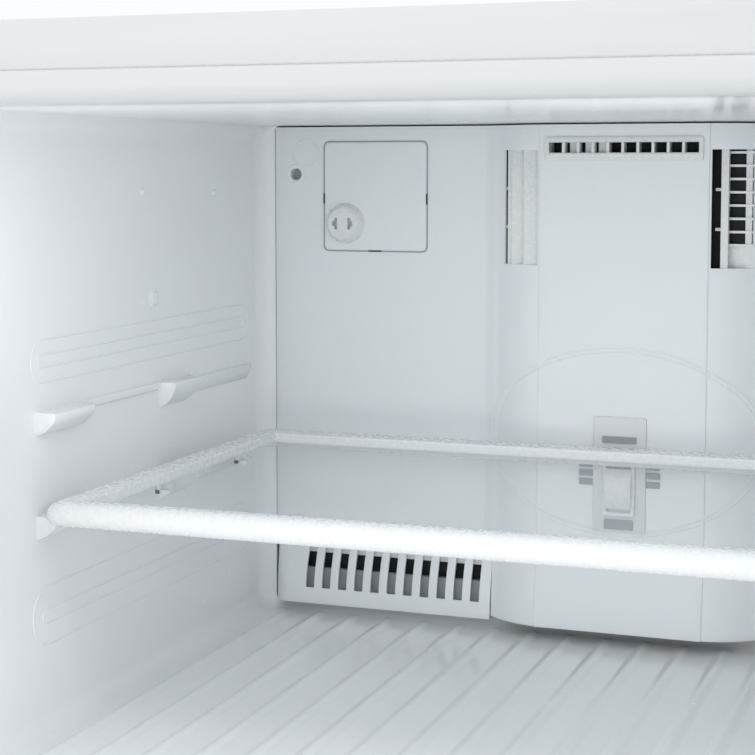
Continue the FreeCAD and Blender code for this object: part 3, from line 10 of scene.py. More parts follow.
import bmesh
import bpy
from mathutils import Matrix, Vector


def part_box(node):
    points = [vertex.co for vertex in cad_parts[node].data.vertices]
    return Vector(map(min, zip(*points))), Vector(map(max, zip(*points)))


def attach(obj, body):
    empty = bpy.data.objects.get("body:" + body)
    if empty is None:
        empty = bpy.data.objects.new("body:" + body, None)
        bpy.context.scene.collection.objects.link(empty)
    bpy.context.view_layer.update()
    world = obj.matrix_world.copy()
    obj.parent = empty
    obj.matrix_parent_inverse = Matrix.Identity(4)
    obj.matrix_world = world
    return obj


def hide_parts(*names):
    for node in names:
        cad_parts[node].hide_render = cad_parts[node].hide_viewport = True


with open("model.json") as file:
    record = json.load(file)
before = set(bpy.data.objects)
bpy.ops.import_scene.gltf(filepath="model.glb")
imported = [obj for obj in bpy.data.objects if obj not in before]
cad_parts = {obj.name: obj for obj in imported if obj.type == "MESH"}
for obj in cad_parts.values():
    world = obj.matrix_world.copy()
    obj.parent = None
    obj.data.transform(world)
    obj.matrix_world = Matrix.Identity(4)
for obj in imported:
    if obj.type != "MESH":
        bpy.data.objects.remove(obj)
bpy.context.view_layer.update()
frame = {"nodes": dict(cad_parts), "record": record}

MM = 0.001
log = logging.getLogger("refrigerator")

Point = tuple[float, float, float]
Flat = tuple[float, float]


class Slot(Enum):
    """The record's material slots."""

    ENAMEL = "white_enamel"
    GALVANISED = "galvanised"
    BLACK_STEEL = "black_steel"
    FOAM = "foam"
    LINER = "liner_plastic"
    COVER = "cover_plastic"
    WHITE = "white_plastic"
    GREY = "grey_plastic"
    CLEAR = "clear_plastic"
    GLASS = "shelf_glass"
    LABEL = "label"
    SEAL = "gasket_rubber"
    BLACK_RUBBER = "black_rubber"
    COIL = "coil_metal"
    COPPER = "copper"
    BOARD = "machine_board"
    LAMP = "lamp_glass"
    SCREW = "zinc_screw"
    DARK = "dark_plastic"


# ------------------------------------------------------------------ shader maths and finishes

class Signal:
    """A socket of a shader tree; arithmetic on it adds Math nodes."""

    def __init__(self, shader: "Shader", socket: bpy.types.NodeSocket) -> None:
        """Keeps the tree and the socket."""
        self.shader = shader
        self.socket = socket

    def _math(self, operation: str, first: object, second: object) -> "Signal":
        """The result of one Math node on two signals or numbers."""
        return self.shader.node("ShaderNodeMath", {"operation": operation}, {0: first, 1: second})

    def __add__(self, other: object) -> "Signal":
        """This plus other."""
        return self._math("ADD", self, other)

    def __radd__(self, other: object) -> "Signal":
        """Other plus this."""
        return self._math("ADD", other, self)

    def __sub__(self, other: object) -> "Signal":
        """This minus other."""
        return self._math("SUBTRACT", self, other)

    def __rsub__(self, other: object) -> "Signal":
        """Other minus this."""
        return self._math("SUBTRACT", other, self)

    def __mul__(self, other: object) -> "Signal":
        """This times other."""
        return self._math("MULTIPLY", self, other)

    def __rmul__(self, other: object) -> "Signal":
        """Other times this."""
        return self._math("MULTIPLY", other, self)


class Shader:
    """A material's node tree, with a Principled shader to feed."""

    def __init__(self, name: str) -> None:
        """Makes an empty material of that name."""
        self.material = bpy.data.materials.new(name)
        self.material.use_nodes = True
        self.tree = self.material.node_tree
        self.principled = self.tree.nodes["Principled BSDF"]

    def node(self, kind: str, settings: dict[str, object], inputs: dict[object, object],
             output: object = 0) -> Signal:
        """Adds a node of any type.

        Args:
            kind: the node's type name.
            settings: properties that are set before its sockets.
            inputs: a value or a signal for each socket, by name or number.
            output: the socket that is returned.

        Returns:
            The chosen output as a signal.
        """
        made = self.tree.nodes.new(kind)
        for key, value in settings.items():
            if key == "stops":
                for element, (place, colour) in zip(made.color_ramp.elements, value):
                    element.position = place
                    element.color = (*colour, 1)
            else:
                setattr(made, key, value)
        for key, value in inputs.items():
            self.feed(made.inputs[key], value)
        return Signal(self, made.outputs[output])

    def feed(self, socket: bpy.types.NodeSocket, value: object) -> None:
        """Links a signal to a socket, or sets its number or colour."""
        if isinstance(value, Signal):
            self.tree.links.new(value.socket, socket)
        else:
            socket.default_value = value

    def place(self) -> Signal:
        """The point on the piece, in metres."""
        return self.node("ShaderNodeTexCoord", {}, {}, "Object")

    def noise(self, scale: float, detail: float = 2.0) -> Signal:
        """Even noise from 0 to 1 with a number of waves per metre."""
        return self.node("ShaderNodeTexNoise", {}, {"Vector": self.place(), "Scale": scale,
                                                    "Detail": detail})

    def tint(self, colour: Sequence[float], amount: float, mask: Signal) -> Signal:
        """The colour, darkened by up to an amount where the mask is high."""
        low = tuple(c * (1 - amount) for c in colour[:3])
        return self.node("ShaderNodeMix", {"data_type": "RGBA"},
                         {"Factor": mask, 6: (*colour[:3], 1), 7: (*low, 1)}, 2)

    def bump(self, height: Signal, strength: float, distance: float) -> Signal:
        """A normal raised by a height signal, over a distance in metres."""
        return self.node("ShaderNodeBump", {}, {"Height": height, "Strength": strength,
                                                "Distance": distance})

    def finish(self, **inputs: object) -> bpy.types.Material:
        """Feeds the Principled shader; an underscore in a name stands for a space."""
        for key, value in inputs.items():
            self.feed(self.principled.inputs[key.replace("_", " ")], value)
        return self.material


@dataclass(frozen=True)
class Moulded:
    """Moulded plastic: a faint cloud in its colour, a fine skin, and an optional clear layer."""

    name: str
    colour: tuple[float, float, float]
    roughness: float = 0.3
    skin: float = 0.05
    grain: float = 900.0
    cloud: float = 0.025
    coat: float = 0.0

    def build(self) -> bpy.types.Material:
        """Makes the material."""
        shader = Shader(self.name)
        cloud = shader.noise(7.0, 3.0)
        skin = shader.noise(self.grain, 1.0)
        return shader.finish(
            Base_Color=shader.tint(self.colour, self.cloud, cloud),
            Roughness=self.roughness + (skin - 0.5) * 0.10 + (cloud - 0.5) * 0.06,
            Normal=shader.bump(skin, self.skin, 0.0004),
            Coat_Weight=self.coat, Coat_Roughness=0.08)


@dataclass(frozen=True)
class Enamel:
    """Sprayed enamel on sheet steel, with a slight orange peel."""

    name: str
    colour: tuple[float, float, float]
    roughness: float = 0.22

    def build(self) -> bpy.types.Material:
        """Makes the material."""
        shader = Shader(self.name)
        peel = shader.noise(260.0, 1.5)
        dust = shader.noise(5.0, 4.0)
        return shader.finish(
            Base_Color=shader.tint(self.colour, 0.03, dust),
            Roughness=self.roughness + (dust - 0.5) * 0.08,
            Normal=shader.bump(peel, 0.05, 0.0006),
            Coat_Weight=0.35, Coat_Roughness=0.06)


@dataclass(frozen=True)
class Metal:
    """Bare metal with crystal spangle or fine drawing lines."""

    name: str
    colour: tuple[float, float, float]
    roughness: float = 0.35
    spangle: float = 90.0
    contrast: float = 0.22
    metallic: float = 1.0

    def build(self) -> bpy.types.Material:
        """Makes the material."""
        shader = Shader(self.name)
        grains = shader.node("ShaderNodeTexVoronoi", {}, {"Vector": shader.place(),
                                                          "Scale": self.spangle}, "Color")
        level = shader.node("ShaderNodeRGBToBW", {}, {"Color": grains})
        stain = shader.noise(14.0, 5.0)
        return shader.finish(
            Base_Color=shader.tint(self.colour, self.contrast, level * 0.7 + stain * 0.3),
            Roughness=self.roughness + (level - 0.5) * 0.18 + (stain - 0.5) * 0.12,
            Metallic=self.metallic, Normal=shader.bump(stain, 0.08, 0.0006))


@dataclass(frozen=True)
class Clear:
    """A see-through sheet: glass or clear moulding, hazier where it is handled."""

    name: str
    colour: tuple[float, float, float]
    alpha: float
    roughness: float = 0.05
    haze: float = 0.06

    def build(self) -> bpy.types.Material:
        """Makes the material."""
        shader = Shader(self.name)
        smear = shader.noise(9.0, 4.0)
        shader.material.surface_render_method = "DITHERED"
        return shader.finish(
            Base_Color=shader.tint(self.colour, 0.03, smear),
            Roughness=self.roughness + smear * self.haze,
            Alpha=self.alpha + (smear - 0.5) * 0.02,
            Normal=shader.bump(smear, 0.01, 0.0005))


@dataclass(frozen=True)
class Cellular:
    """Rigid foam with small closed cells."""

    name: str
    colour: tuple[float, float, float]

    def build(self) -> bpy.types.Material:
        """Makes the material."""
        shader = Shader(self.name)
        cells = shader.node("ShaderNodeTexVoronoi", {}, {"Vector": shader.place(), "Scale": 420.0},
                            "Distance")
        age = shader.noise(12.0, 4.0)
        return shader.finish(Base_Color=shader.tint(self.colour, 0.2, age),
                             Roughness=0.85 + (age - 0.5) * 0.1,
                             Normal=shader.bump(cells, 0.5, 0.0012))


FINISHES = {
    Slot.ENAMEL: Enamel("white_enamel", (0.86, 0.875, 0.885)),
    Slot.GALVANISED: Metal("galvanised_sheet", (0.62, 0.64, 0.66), roughness=0.38),
    Slot.BLACK_STEEL: Enamel("black_enamel", (0.018, 0.018, 0.02), roughness=0.3),
    Slot.FOAM: Cellular("rigid_foam", (0.82, 0.74, 0.52)),
    Slot.LINER: Moulded("liner_plastic", (0.865, 0.885, 0.90), roughness=0.24, skin=0.008,
                        grain=240.0, cloud=0.02, coat=0.25),
    Slot.COVER: Moulded("cover_plastic", (0.85, 0.88, 0.90), roughness=0.42, skin=0.02,
                        grain=600.0, cloud=0.015),
    Slot.WHITE: Moulded("white_plastic", (0.80, 0.815, 0.825), roughness=0.27, skin=0.006,
                        grain=260.0, cloud=0.015, coat=0.2),
    Slot.GREY: Moulded("grey_plastic", (0.36, 0.38, 0.41), roughness=0.45, skin=0.12),
    Slot.CLEAR: Clear("clear_moulding", (0.80, 0.87, 0.90), alpha=0.30, roughness=0.07, haze=0.10),
    Slot.GLASS: Clear("shelf_glass", (0.60, 0.70, 0.70), alpha=0.10),
    Slot.LABEL: Moulded("label_film", (0.74, 0.76, 0.78), roughness=0.35, skin=0.02, grain=1500.0),
    Slot.SEAL: Moulded("soft_seal", (0.78, 0.79, 0.79), roughness=0.62, skin=0.18, grain=1300.0),
    Slot.BLACK_RUBBER: Moulded("black_rubber", (0.022, 0.022, 0.022), roughness=0.72, skin=0.3,
                               grain=1000.0),
    Slot.COIL: Metal("bare_aluminium", (0.80, 0.81, 0.83), roughness=0.3, spangle=160.0,
                     contrast=0.12),
    Slot.COPPER: Metal("copper_tube", (0.78, 0.40, 0.24), roughness=0.3, spangle=60.0, contrast=0.3),
    Slot.BOARD: Moulded("machine_board", (0.06, 0.06, 0.065), roughness=0.75, skin=0.3,
                        grain=500.0, cloud=0.2),
    Slot.LAMP: Clear("frosted_bulb", (0.95, 0.94, 0.88), alpha=0.75, roughness=0.3),
    Slot.SCREW: Metal("zinc_screw", (0.72, 0.73, 0.70), roughness=0.28, spangle=300.0,
                      contrast=0.1),
    Slot.DARK: Moulded("dark_plastic", (0.010, 0.010, 0.011), roughness=0.6, skin=0.08,
                       grain=700.0, cloud=0.1),
}


class Palette:
    """Makes each finish once."""

    def __init__(self) -> None:
        """Starts with nothing made."""
        self.made: dict[Slot, bpy.types.Material] = {}

    def of(self, slot: Slot) -> bpy.types.Material:
        """The material of a slot."""
        if slot not in self.made:
            self.made[slot] = FINISHES[slot].build()
        return self.made[slot]


PALETTE = Palette()


# ------------------------------------------------------------------ mesh building

def rounded(half: float, low: float, high: float, radius: float, steps: int = 6) -> list[Flat]:
    """The corners of an upright rounded rectangle centred on zero, anticlockwise from the right.

    Args:
        half: half of its width.
        low: its lower edge.
        high: its upper edge.
        radius: its corner radius.
        steps: arcs are cut into this many pieces.

    Returns:
        Points as (across, up), 4 * (steps + 1) of them.
    """
    radius = max(min(radius, half * 0.99, (high - low) * 0.495), 1e-5)
    points = []
    for quarter, (x, z) in enumerate(((half - radius, high - radius), (radius - half, high - radius),
                                      (radius - half, low + radius), (half - radius, low + radius))):
        for i in range(steps + 1):
            turn = math.pi / 2 * (quarter + i / steps)
            points.append((x + radius * math.cos(turn), z + radius * math.sin(turn)))
    return points


def circle(steps: int) -> list[Flat]:
    """The points of a unit circle, anticlockwise from the right."""
    turns = (2 * math.pi * i / steps for i in range(steps))
    return [(math.cos(turn), math.sin(turn)) for turn in turns]


class Solid:
    """A mesh in the making."""

    def __init__(self) -> None:
        """Starts empty."""
        self.points: list[Point] = []
        self.faces: list[tuple[int, ...]] = []

    def loft(self, rings: Sequence[Sequence[Point]], capped: bool = True,
             joined: bool = False) -> "Solid":
        """Skins a row of rings that have the same number of points.

        Args:
            rings: closed rings of points.
            capped: whether the first and last rings are filled.
            joined: whether the last ring meets the first.

        Returns:
            This solid.
        """
        start, count = len(self.points), len(rings[0])
        for ring in rings:
            self.points.extend(ring)
        last = len(rings) if joined else len(rings) - 1
        for k in range(last):
            a, b = start + k * count, start + (k + 1) % len(rings) * count
            for i in range(count):
                j = (i + 1) % count
                self.faces.append((a + i, a + j, b + j, b + i))
        if capped and not joined:
            self.faces.append(tuple(start + i for i in reversed(range(count))))
            self.faces.append(tuple(start + (len(rings) - 1) * count + i for i in range(count)))
        return self

    def block(self, low: Point, high: Point, radius: float = 0.0) -> "Solid":
        """A block, with its four edges along Y rounded."""
        middle = (low[0] + high[0]) / 2
        ring = rounded((high[0] - low[0]) / 2, low[2], high[2], radius, 4 if radius else 1)
        return self.loft([[(middle + x, y, z) for x, z in ring] for y in (low[1], high[1])])

    def lathe(self, centre: Point, outline: Sequence[Flat], steps: int = 40,
              hollow: bool = False) -> "Solid":
        """Turns an outline of (radius, distance towards -Y) about an axis along Y.

        Args:
            centre: where the axis starts.
            outline: the section's points.
            steps: the circle is cut into this many pieces.
            hollow: whether the outline is a closed loop, which leaves a hole along the axis.

        Returns:
            This solid.
        """
        rings = []
        for radius, reach in outline:
            size = max(radius, 1e-5)
            rings.append([(centre[0] + size * x, centre[1] - reach, centre[2] + size * z)
                          for x, z in circle(steps)])
        return self.loft(rings, capped=not hollow, joined=hollow)

    def mirrored(self) -> "Solid":
        """Adds the mirror image across the middle of the cabinet."""
        start = len(self.points)
        self.points += [(-x, y, z) for x, y, z in self.points]
        self.faces += [tuple(start + i for i in reversed(face)) for face in list(self.faces)]
        return self

    def object(self, name: str, closed: bool = True) -> bpy.types.Object:
        """Turns it into a Blender object at the origin.

        Args:
            name: the object's name.
            closed: whether its normals are worked out afresh, as they are for a closed solid.

        Returns:
            The object, linked to the scene.
        """
        mesh = bpy.data.meshes.new(name)
        mesh.from_pydata(self.points, [], self.faces)
        work = bmesh.new()
        work.from_mesh(mesh)
        bmesh.ops.remove_doubles(work, verts=work.verts, dist=2e-6)
        bmesh.ops.dissolve_degenerate(work, edges=work.edges, dist=1e-7)
        if closed:
            bmesh.ops.recalc_face_normals(work, faces=work.faces)
        work.to_mesh(mesh)
        work.free()
        made = bpy.data.objects.new(name, mesh)
        bpy.context.scene.collection.objects.link(made)
        return made


def settle(piece: bpy.types.Object, smooth: float = 35.0) -> bpy.types.Object:
    """Makes a piece's modifiers part of its mesh and shades its gentle edges smooth.

    Args:
        piece: the object.
        smooth: edges that turn by less than this many degrees are shaded smooth.

    Returns:
        The same object with a plain mesh.
    """
    graph = bpy.context.evaluated_depsgraph_get()
    mesh = bpy.data.meshes.new_from_object(piece.evaluated_get(graph))
    piece.modifiers.clear()
    piece.data = mesh
    mesh.shade_smooth()
    mesh.set_sharp_from_angle(angle=math.radians(smooth))
    return piece


def soften(piece: bpy.types.Object, width: float, segments: int = 2,
           limit: float = 40.0) -> bpy.types.Object:
    """Adds a bevel to the edges of a piece that turn by more than a limit in degrees."""
    bevel = piece.modifiers.new("edges", "BEVEL")
    bevel.width = width
    bevel.segments = segments
    bevel.limit_method = "ANGLE"
    bevel.angle_limit = math.radians(limit)
    bevel.use_clamp_overlap = True
    return piece


def thicken(piece: bpy.types.Object, wall: float) -> bpy.types.Object:
    """Gives an open sheet a wall behind its face."""
    solidify = piece.modifiers.new("wall", "SOLIDIFY")
    solidify.thickness = wall
    solidify.offset = -1
    return piece


def hand_over(piece: bpy.types.Object, slot: Slot, *nodes: str,
              body: str = "cabinet") -> bpy.types.Object:
    """Gives a finished piece its material and its body, and hides the CAD nodes that it stands for.
    """
    piece.data.materials.clear()
    piece.data.materials.append(PALETTE.of(slot))
    for polygon in piece.data.polygons:
        polygon.material_index = 0
    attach(piece, body)
    if nodes:
        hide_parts(*nodes)
    log.info("%-28s %6d faces on %s", piece.name, len(piece.data.polygons), body)
    return piece


# ------------------------------------------------------------------ geometry nodes

class Grower:
    """A geometry node tree with named inputs, run on an object and turned into a plain mesh."""

    def __init__(self, name: str, inputs: Sequence[tuple[str, str]]) -> None:
        """Makes the tree's interface.

        Args:
            name: the tree's name.
            inputs: a name and a socket type for each size.
        """
        self.tree = bpy.data.node_groups.new(name, "GeometryNodeTree")
        face = self.tree.interface
        face.new_socket("Geometry", in_out="OUTPUT", socket_type="NodeSocketGeometry")
        self.sockets = {"Geometry": face.new_socket("Geometry", in_out="INPUT",
                                                    socket_type="NodeSocketGeometry").identifier}
        for label, kind in (*inputs, ("Material", "NodeSocketMaterial")):
            self.sockets[label] = face.new_socket(label, in_out="INPUT", socket_type=kind).identifier
        self.start = self.add("NodeGroupInput", {})
        self.end = self.add("NodeGroupOutput", {})

    def add(self, kind: str, inputs: dict[str, object], **settings: object) -> bpy.types.Node:
        """Adds a node, with a value or another node's socket for each input."""
        made = self.tree.nodes.new(kind)
        for key, value in settings.items():
            setattr(made, key, value)
        for key, value in inputs.items():
            if isinstance(value, bpy.types.NodeSocket):
                self.tree.links.new(value, made.inputs[key])
            else:
                made.inputs[key].default_value = value
        return made

    def given(self, label: str) -> bpy.types.NodeSocket:
        """The group input of that name."""
        return self.start.outputs[label]

    def finish(self, geometry: bpy.types.NodeSocket) -> None:
        """Ends the tree in Realize Instances and Set Material."""
        real = self.add("GeometryNodeRealizeInstances", {"Geometry": geometry})
        painted = self.add("GeometryNodeSetMaterial", {"Geometry": real.outputs[0],
                                                       "Material": self.given("Material")})
        self.tree.links.new(painted.outputs[0], self.end.inputs[0])

    def run(self, piece: bpy.types.Object, slot: Slot, **values: object) -> bpy.types.Object:
        """Runs the tree on a piece, and keeps the result as its mesh."""
        grow = piece.modifiers.new(self.tree.name, "NODES")
        grow.node_group = self.tree
        for label, value in values.items():
            grow[self.sockets[label]] = value
        grow[self.sockets["Material"]] = PALETTE.of(slot)
        return settle(piece)


class Repeater(Grower):
    """Copies a piece along rows and columns."""

    def __init__(self) -> None:
        """Builds the tree: a line of points on which a line of copies stands."""
        super().__init__("repeat", [("Count", "NodeSocketInt"), ("Step", "NodeSocketVector"),
                                    ("Rows", "NodeSocketInt"), ("Rise", "NodeSocketVector")])
        inner = self.line("Count", "Step", self.given("Geometry"))
        outer = self.line("Rows", "Rise", inner)
        self.finish(outer)

    def line(self, count: str, step: str, shape: bpy.types.NodeSocket) -> bpy.types.NodeSocket:
        """Copies of a shape at equal steps from the origin."""
        row = self.add("GeometryNodeMeshLine", {"Count": self.given(count),
                                                "Offset": self.given(step)})
        copies = self.add("GeometryNodeInstanceOnPoints", {"Points": row.outputs[0],
                                                           "Instance": shape})
        return copies.outputs[0]


class Beader(Grower):
    """Draws a round bead along the edges of a path."""

    def __init__(self) -> None:
        """Builds the tree: a circle swept along the path."""
        super().__init__("bead", [("Radius", "NodeSocketFloat")])
        path = self.add("GeometryNodeMeshToCurve", {"Mesh": self.given("Geometry")})
        circle = self.add("GeometryNodeCurvePrimitiveCircle", {"Resolution": 8,
                                                               "Radius": self.given("Radius")})
        bead = self.add("GeometryNodeCurveToMesh", {"Curve": path.outputs[0],
                                                    "Profile Curve": circle.outputs[0],
                                                    "Fill Caps": True})
        self.finish(bead.outputs[0])


REPEAT = Repeater()
BEAD = Beader()


def repeated(piece: bpy.types.Object, slot: Slot, count: int, step: Point, rows: int = 1,
             rise: Point = (0, 0, 0)) -> bpy.types.Object:
    """Copies a piece along a row, and the row along a column."""
    return REPEAT.run(piece, slot, Count=count, Step=step, Rows=rows, Rise=rise)


def beads(name: str, paths: Iterable[Sequence[Point]], radius: float, slot: Slot,
          closed: bool = True) -> bpy.types.Object:
    """Round beads along paths.

    Args:
        name: the piece's name.
        paths: rows of points.
        radius: the bead's radius.
        slot: its finish.
        closed: whether each path is a loop.

    Returns:
        One object with all the beads.
    """
    points: list[Point] = []
    edges: list[tuple[int, int]] = []
    for path in paths:
        start = len(points)
        points.extend(path)
        edges += [(start + i, start + i + 1) for i in range(len(path) - 1)]
        if closed:
            edges.append((len(points) - 1, start))
    mesh = bpy.data.meshes.new(name)
    mesh.from_pydata(points, edges, [])
    made = bpy.data.objects.new(name, mesh)
    bpy.context.scene.collection.objects.link(made)
    return BEAD.run(made, slot, Radius=radius)


# ------------------------------------------------------------------ where things are

@dataclass(frozen=True)
class Freezer:
    """The freezer compartment's planes, read from the frame, in metres."""

    front: float
    cover: float
    left: float
    right: float
    ceiling: float
    floor: float

    @classmethod
    def read(cls) -> "Freezer":
        """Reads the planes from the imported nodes' boxes."""
        duct, lip = 24 * MM, 21 * MM
        low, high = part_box("freezer_liner")
        return cls(front=low.y, cover=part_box("evaporator_cover")[0].y + duct, left=low.x + lip,
                   right=high.x - lip, ceiling=high.z - lip, floor=low.z + lip)

    @property
    def wall(self) -> float:
        """The left wall's face, in millimetres across."""
        return self.left / MM

    def at(self, x: float, y: float, z: float) -> Point:
        """A point in metres, from millimetres across, behind the cover and above the ceiling."""
        return (x * MM, self.cover + y * MM, self.ceiling + z * MM)

    def upright(self, y: float, half: float, low: float, high: float, corner: float,
                middle: float = 0.0) -> list[Point]:
        """An upright rounded rectangle at a depth, from the same millimetres."""
        return [self.at(middle + x, y, z) for x, z in rounded(half, low, high, corner, 4)]


PLACE = Freezer.read()


SLOT_OF = {entry["node"]: Slot(entry["material_slot"]) for entry in frame["record"]["subparts"]}


def dress() -> None:
    """Gives every CAD node its finish."""
    for name, piece in frame["nodes"].items():
        material = PALETTE.of(SLOT_OF[name])
        if piece.material_slots:
            for entry in piece.material_slots:
                entry.material = material
        else:
            piece.data.materials.append(material)
    log.info("%d nodes dressed", len(frame["nodes"]))


@dataclass
class Studio:
    """The floor, the lights and the camera."""

    eye: Point = (0.2995, -1.2244, 1.5939)
    pitch: float = 85.25
    yaw: float = 20.05
    lens: float = 83.25
    shift: float = -0.0865
    lamps: Sequence[tuple[str, Point, Point, float, float]] = (
        ("key", (-0.6, -3.2, 2.6), (0.0, 0.0, 1.0), 2.0, 5.0),
        ("back", (0.6, 2.8, 2.4), (0.0, 0.0, 0.9), 2.0, 5.0),
        ("side", (-2.8, -0.4, 1.8), (0.0, 0.0, 0.9), 2.0, 1.5),
    )
    mouths: Sequence[tuple[str, float, float, float]] = (
        ("mouth_upper", PLACE.ceiling - 0.105, 0.17, 0.43),
        ("mouth_lower", PLACE.floor + 0.055, 0.08, 0.18),
    )
    mouth_width: float = 0.60
    floor_half: float = 6.0

    def build(self) -> None:
        """Makes them all."""
        floor = Solid()
        far = self.floor_half
        floor.points = [(-far, -far, 0), (far, -far, 0), (far, far, 0), (-far, far, 0)]
        floor.faces = [(0, 1, 2, 3)]
        ground = floor.object("studio_floor", closed=False)
        pale = Moulded("pale_floor", (0.80, 0.80, 0.79), roughness=0.6, skin=0.02, grain=40.0)
        ground.data.materials.append(pale.build())
        for name, spot, target, side, power in self.lamps:
            light = bpy.data.lights.new(name, "AREA")
            light.shape, light.size, light.energy = "SQUARE", side, power
            lamp = bpy.data.objects.new(name, light)
            lamp.location = spot
            aim = Vector(target) - Vector(spot)
            lamp.rotation_euler = aim.to_track_quat("-Z", "Y").to_euler()
            bpy.context.scene.collection.objects.link(lamp)
        for mouth in self.mouths:
            self.light_mouth(*mouth)
        world = bpy.data.worlds.new("studio")
        world.use_nodes = True
        sky = world.node_tree.nodes["Background"]
        sky.inputs["Color"].default_value = (0.97, 0.985, 1.0, 1)
        sky.inputs["Strength"].default_value = 1.0
        bpy.context.scene.world = world
        bpy.context.scene.view_settings.view_transform = "Standard"
        self.aim_camera()

    def light_mouth(self, name: str, middle: float, tall: float, power: float) -> None:
        """A soft light in the freezer's mouth that no camera or reflection sees."""
        light = bpy.data.lights.new(name, "AREA")
        light.shape, light.energy = "RECTANGLE", power
        light.size, light.size_y = self.mouth_width, tall
        lamp = bpy.data.objects.new(name, light)
        lamp.location = (0.0, PLACE.front + 14 * MM, middle)
        lamp.rotation_euler = (math.radians(90), 0.0, 0.0)
        lamp.visible_camera = lamp.visible_glossy = lamp.visible_transmission = False
        bpy.context.scene.collection.objects.link(lamp)

    def aim_camera(self) -> None:
        """Stands the camera in front of the open freezer compartment."""
        data = bpy.data.cameras.new("camera")
        data.lens = self.lens
        data.sensor_width = 36.0
        data.shift_y = self.shift
        camera = bpy.data.objects.new("camera", data)
        camera.location = self.eye
        camera.rotation_euler = (math.radians(self.pitch), 0.0, math.radians(self.yaw))
        bpy.context.scene.collection.objects.link(camera)
        bpy.context.scene.camera = camera


# ------------------------------------------------------------------ freezer compartment

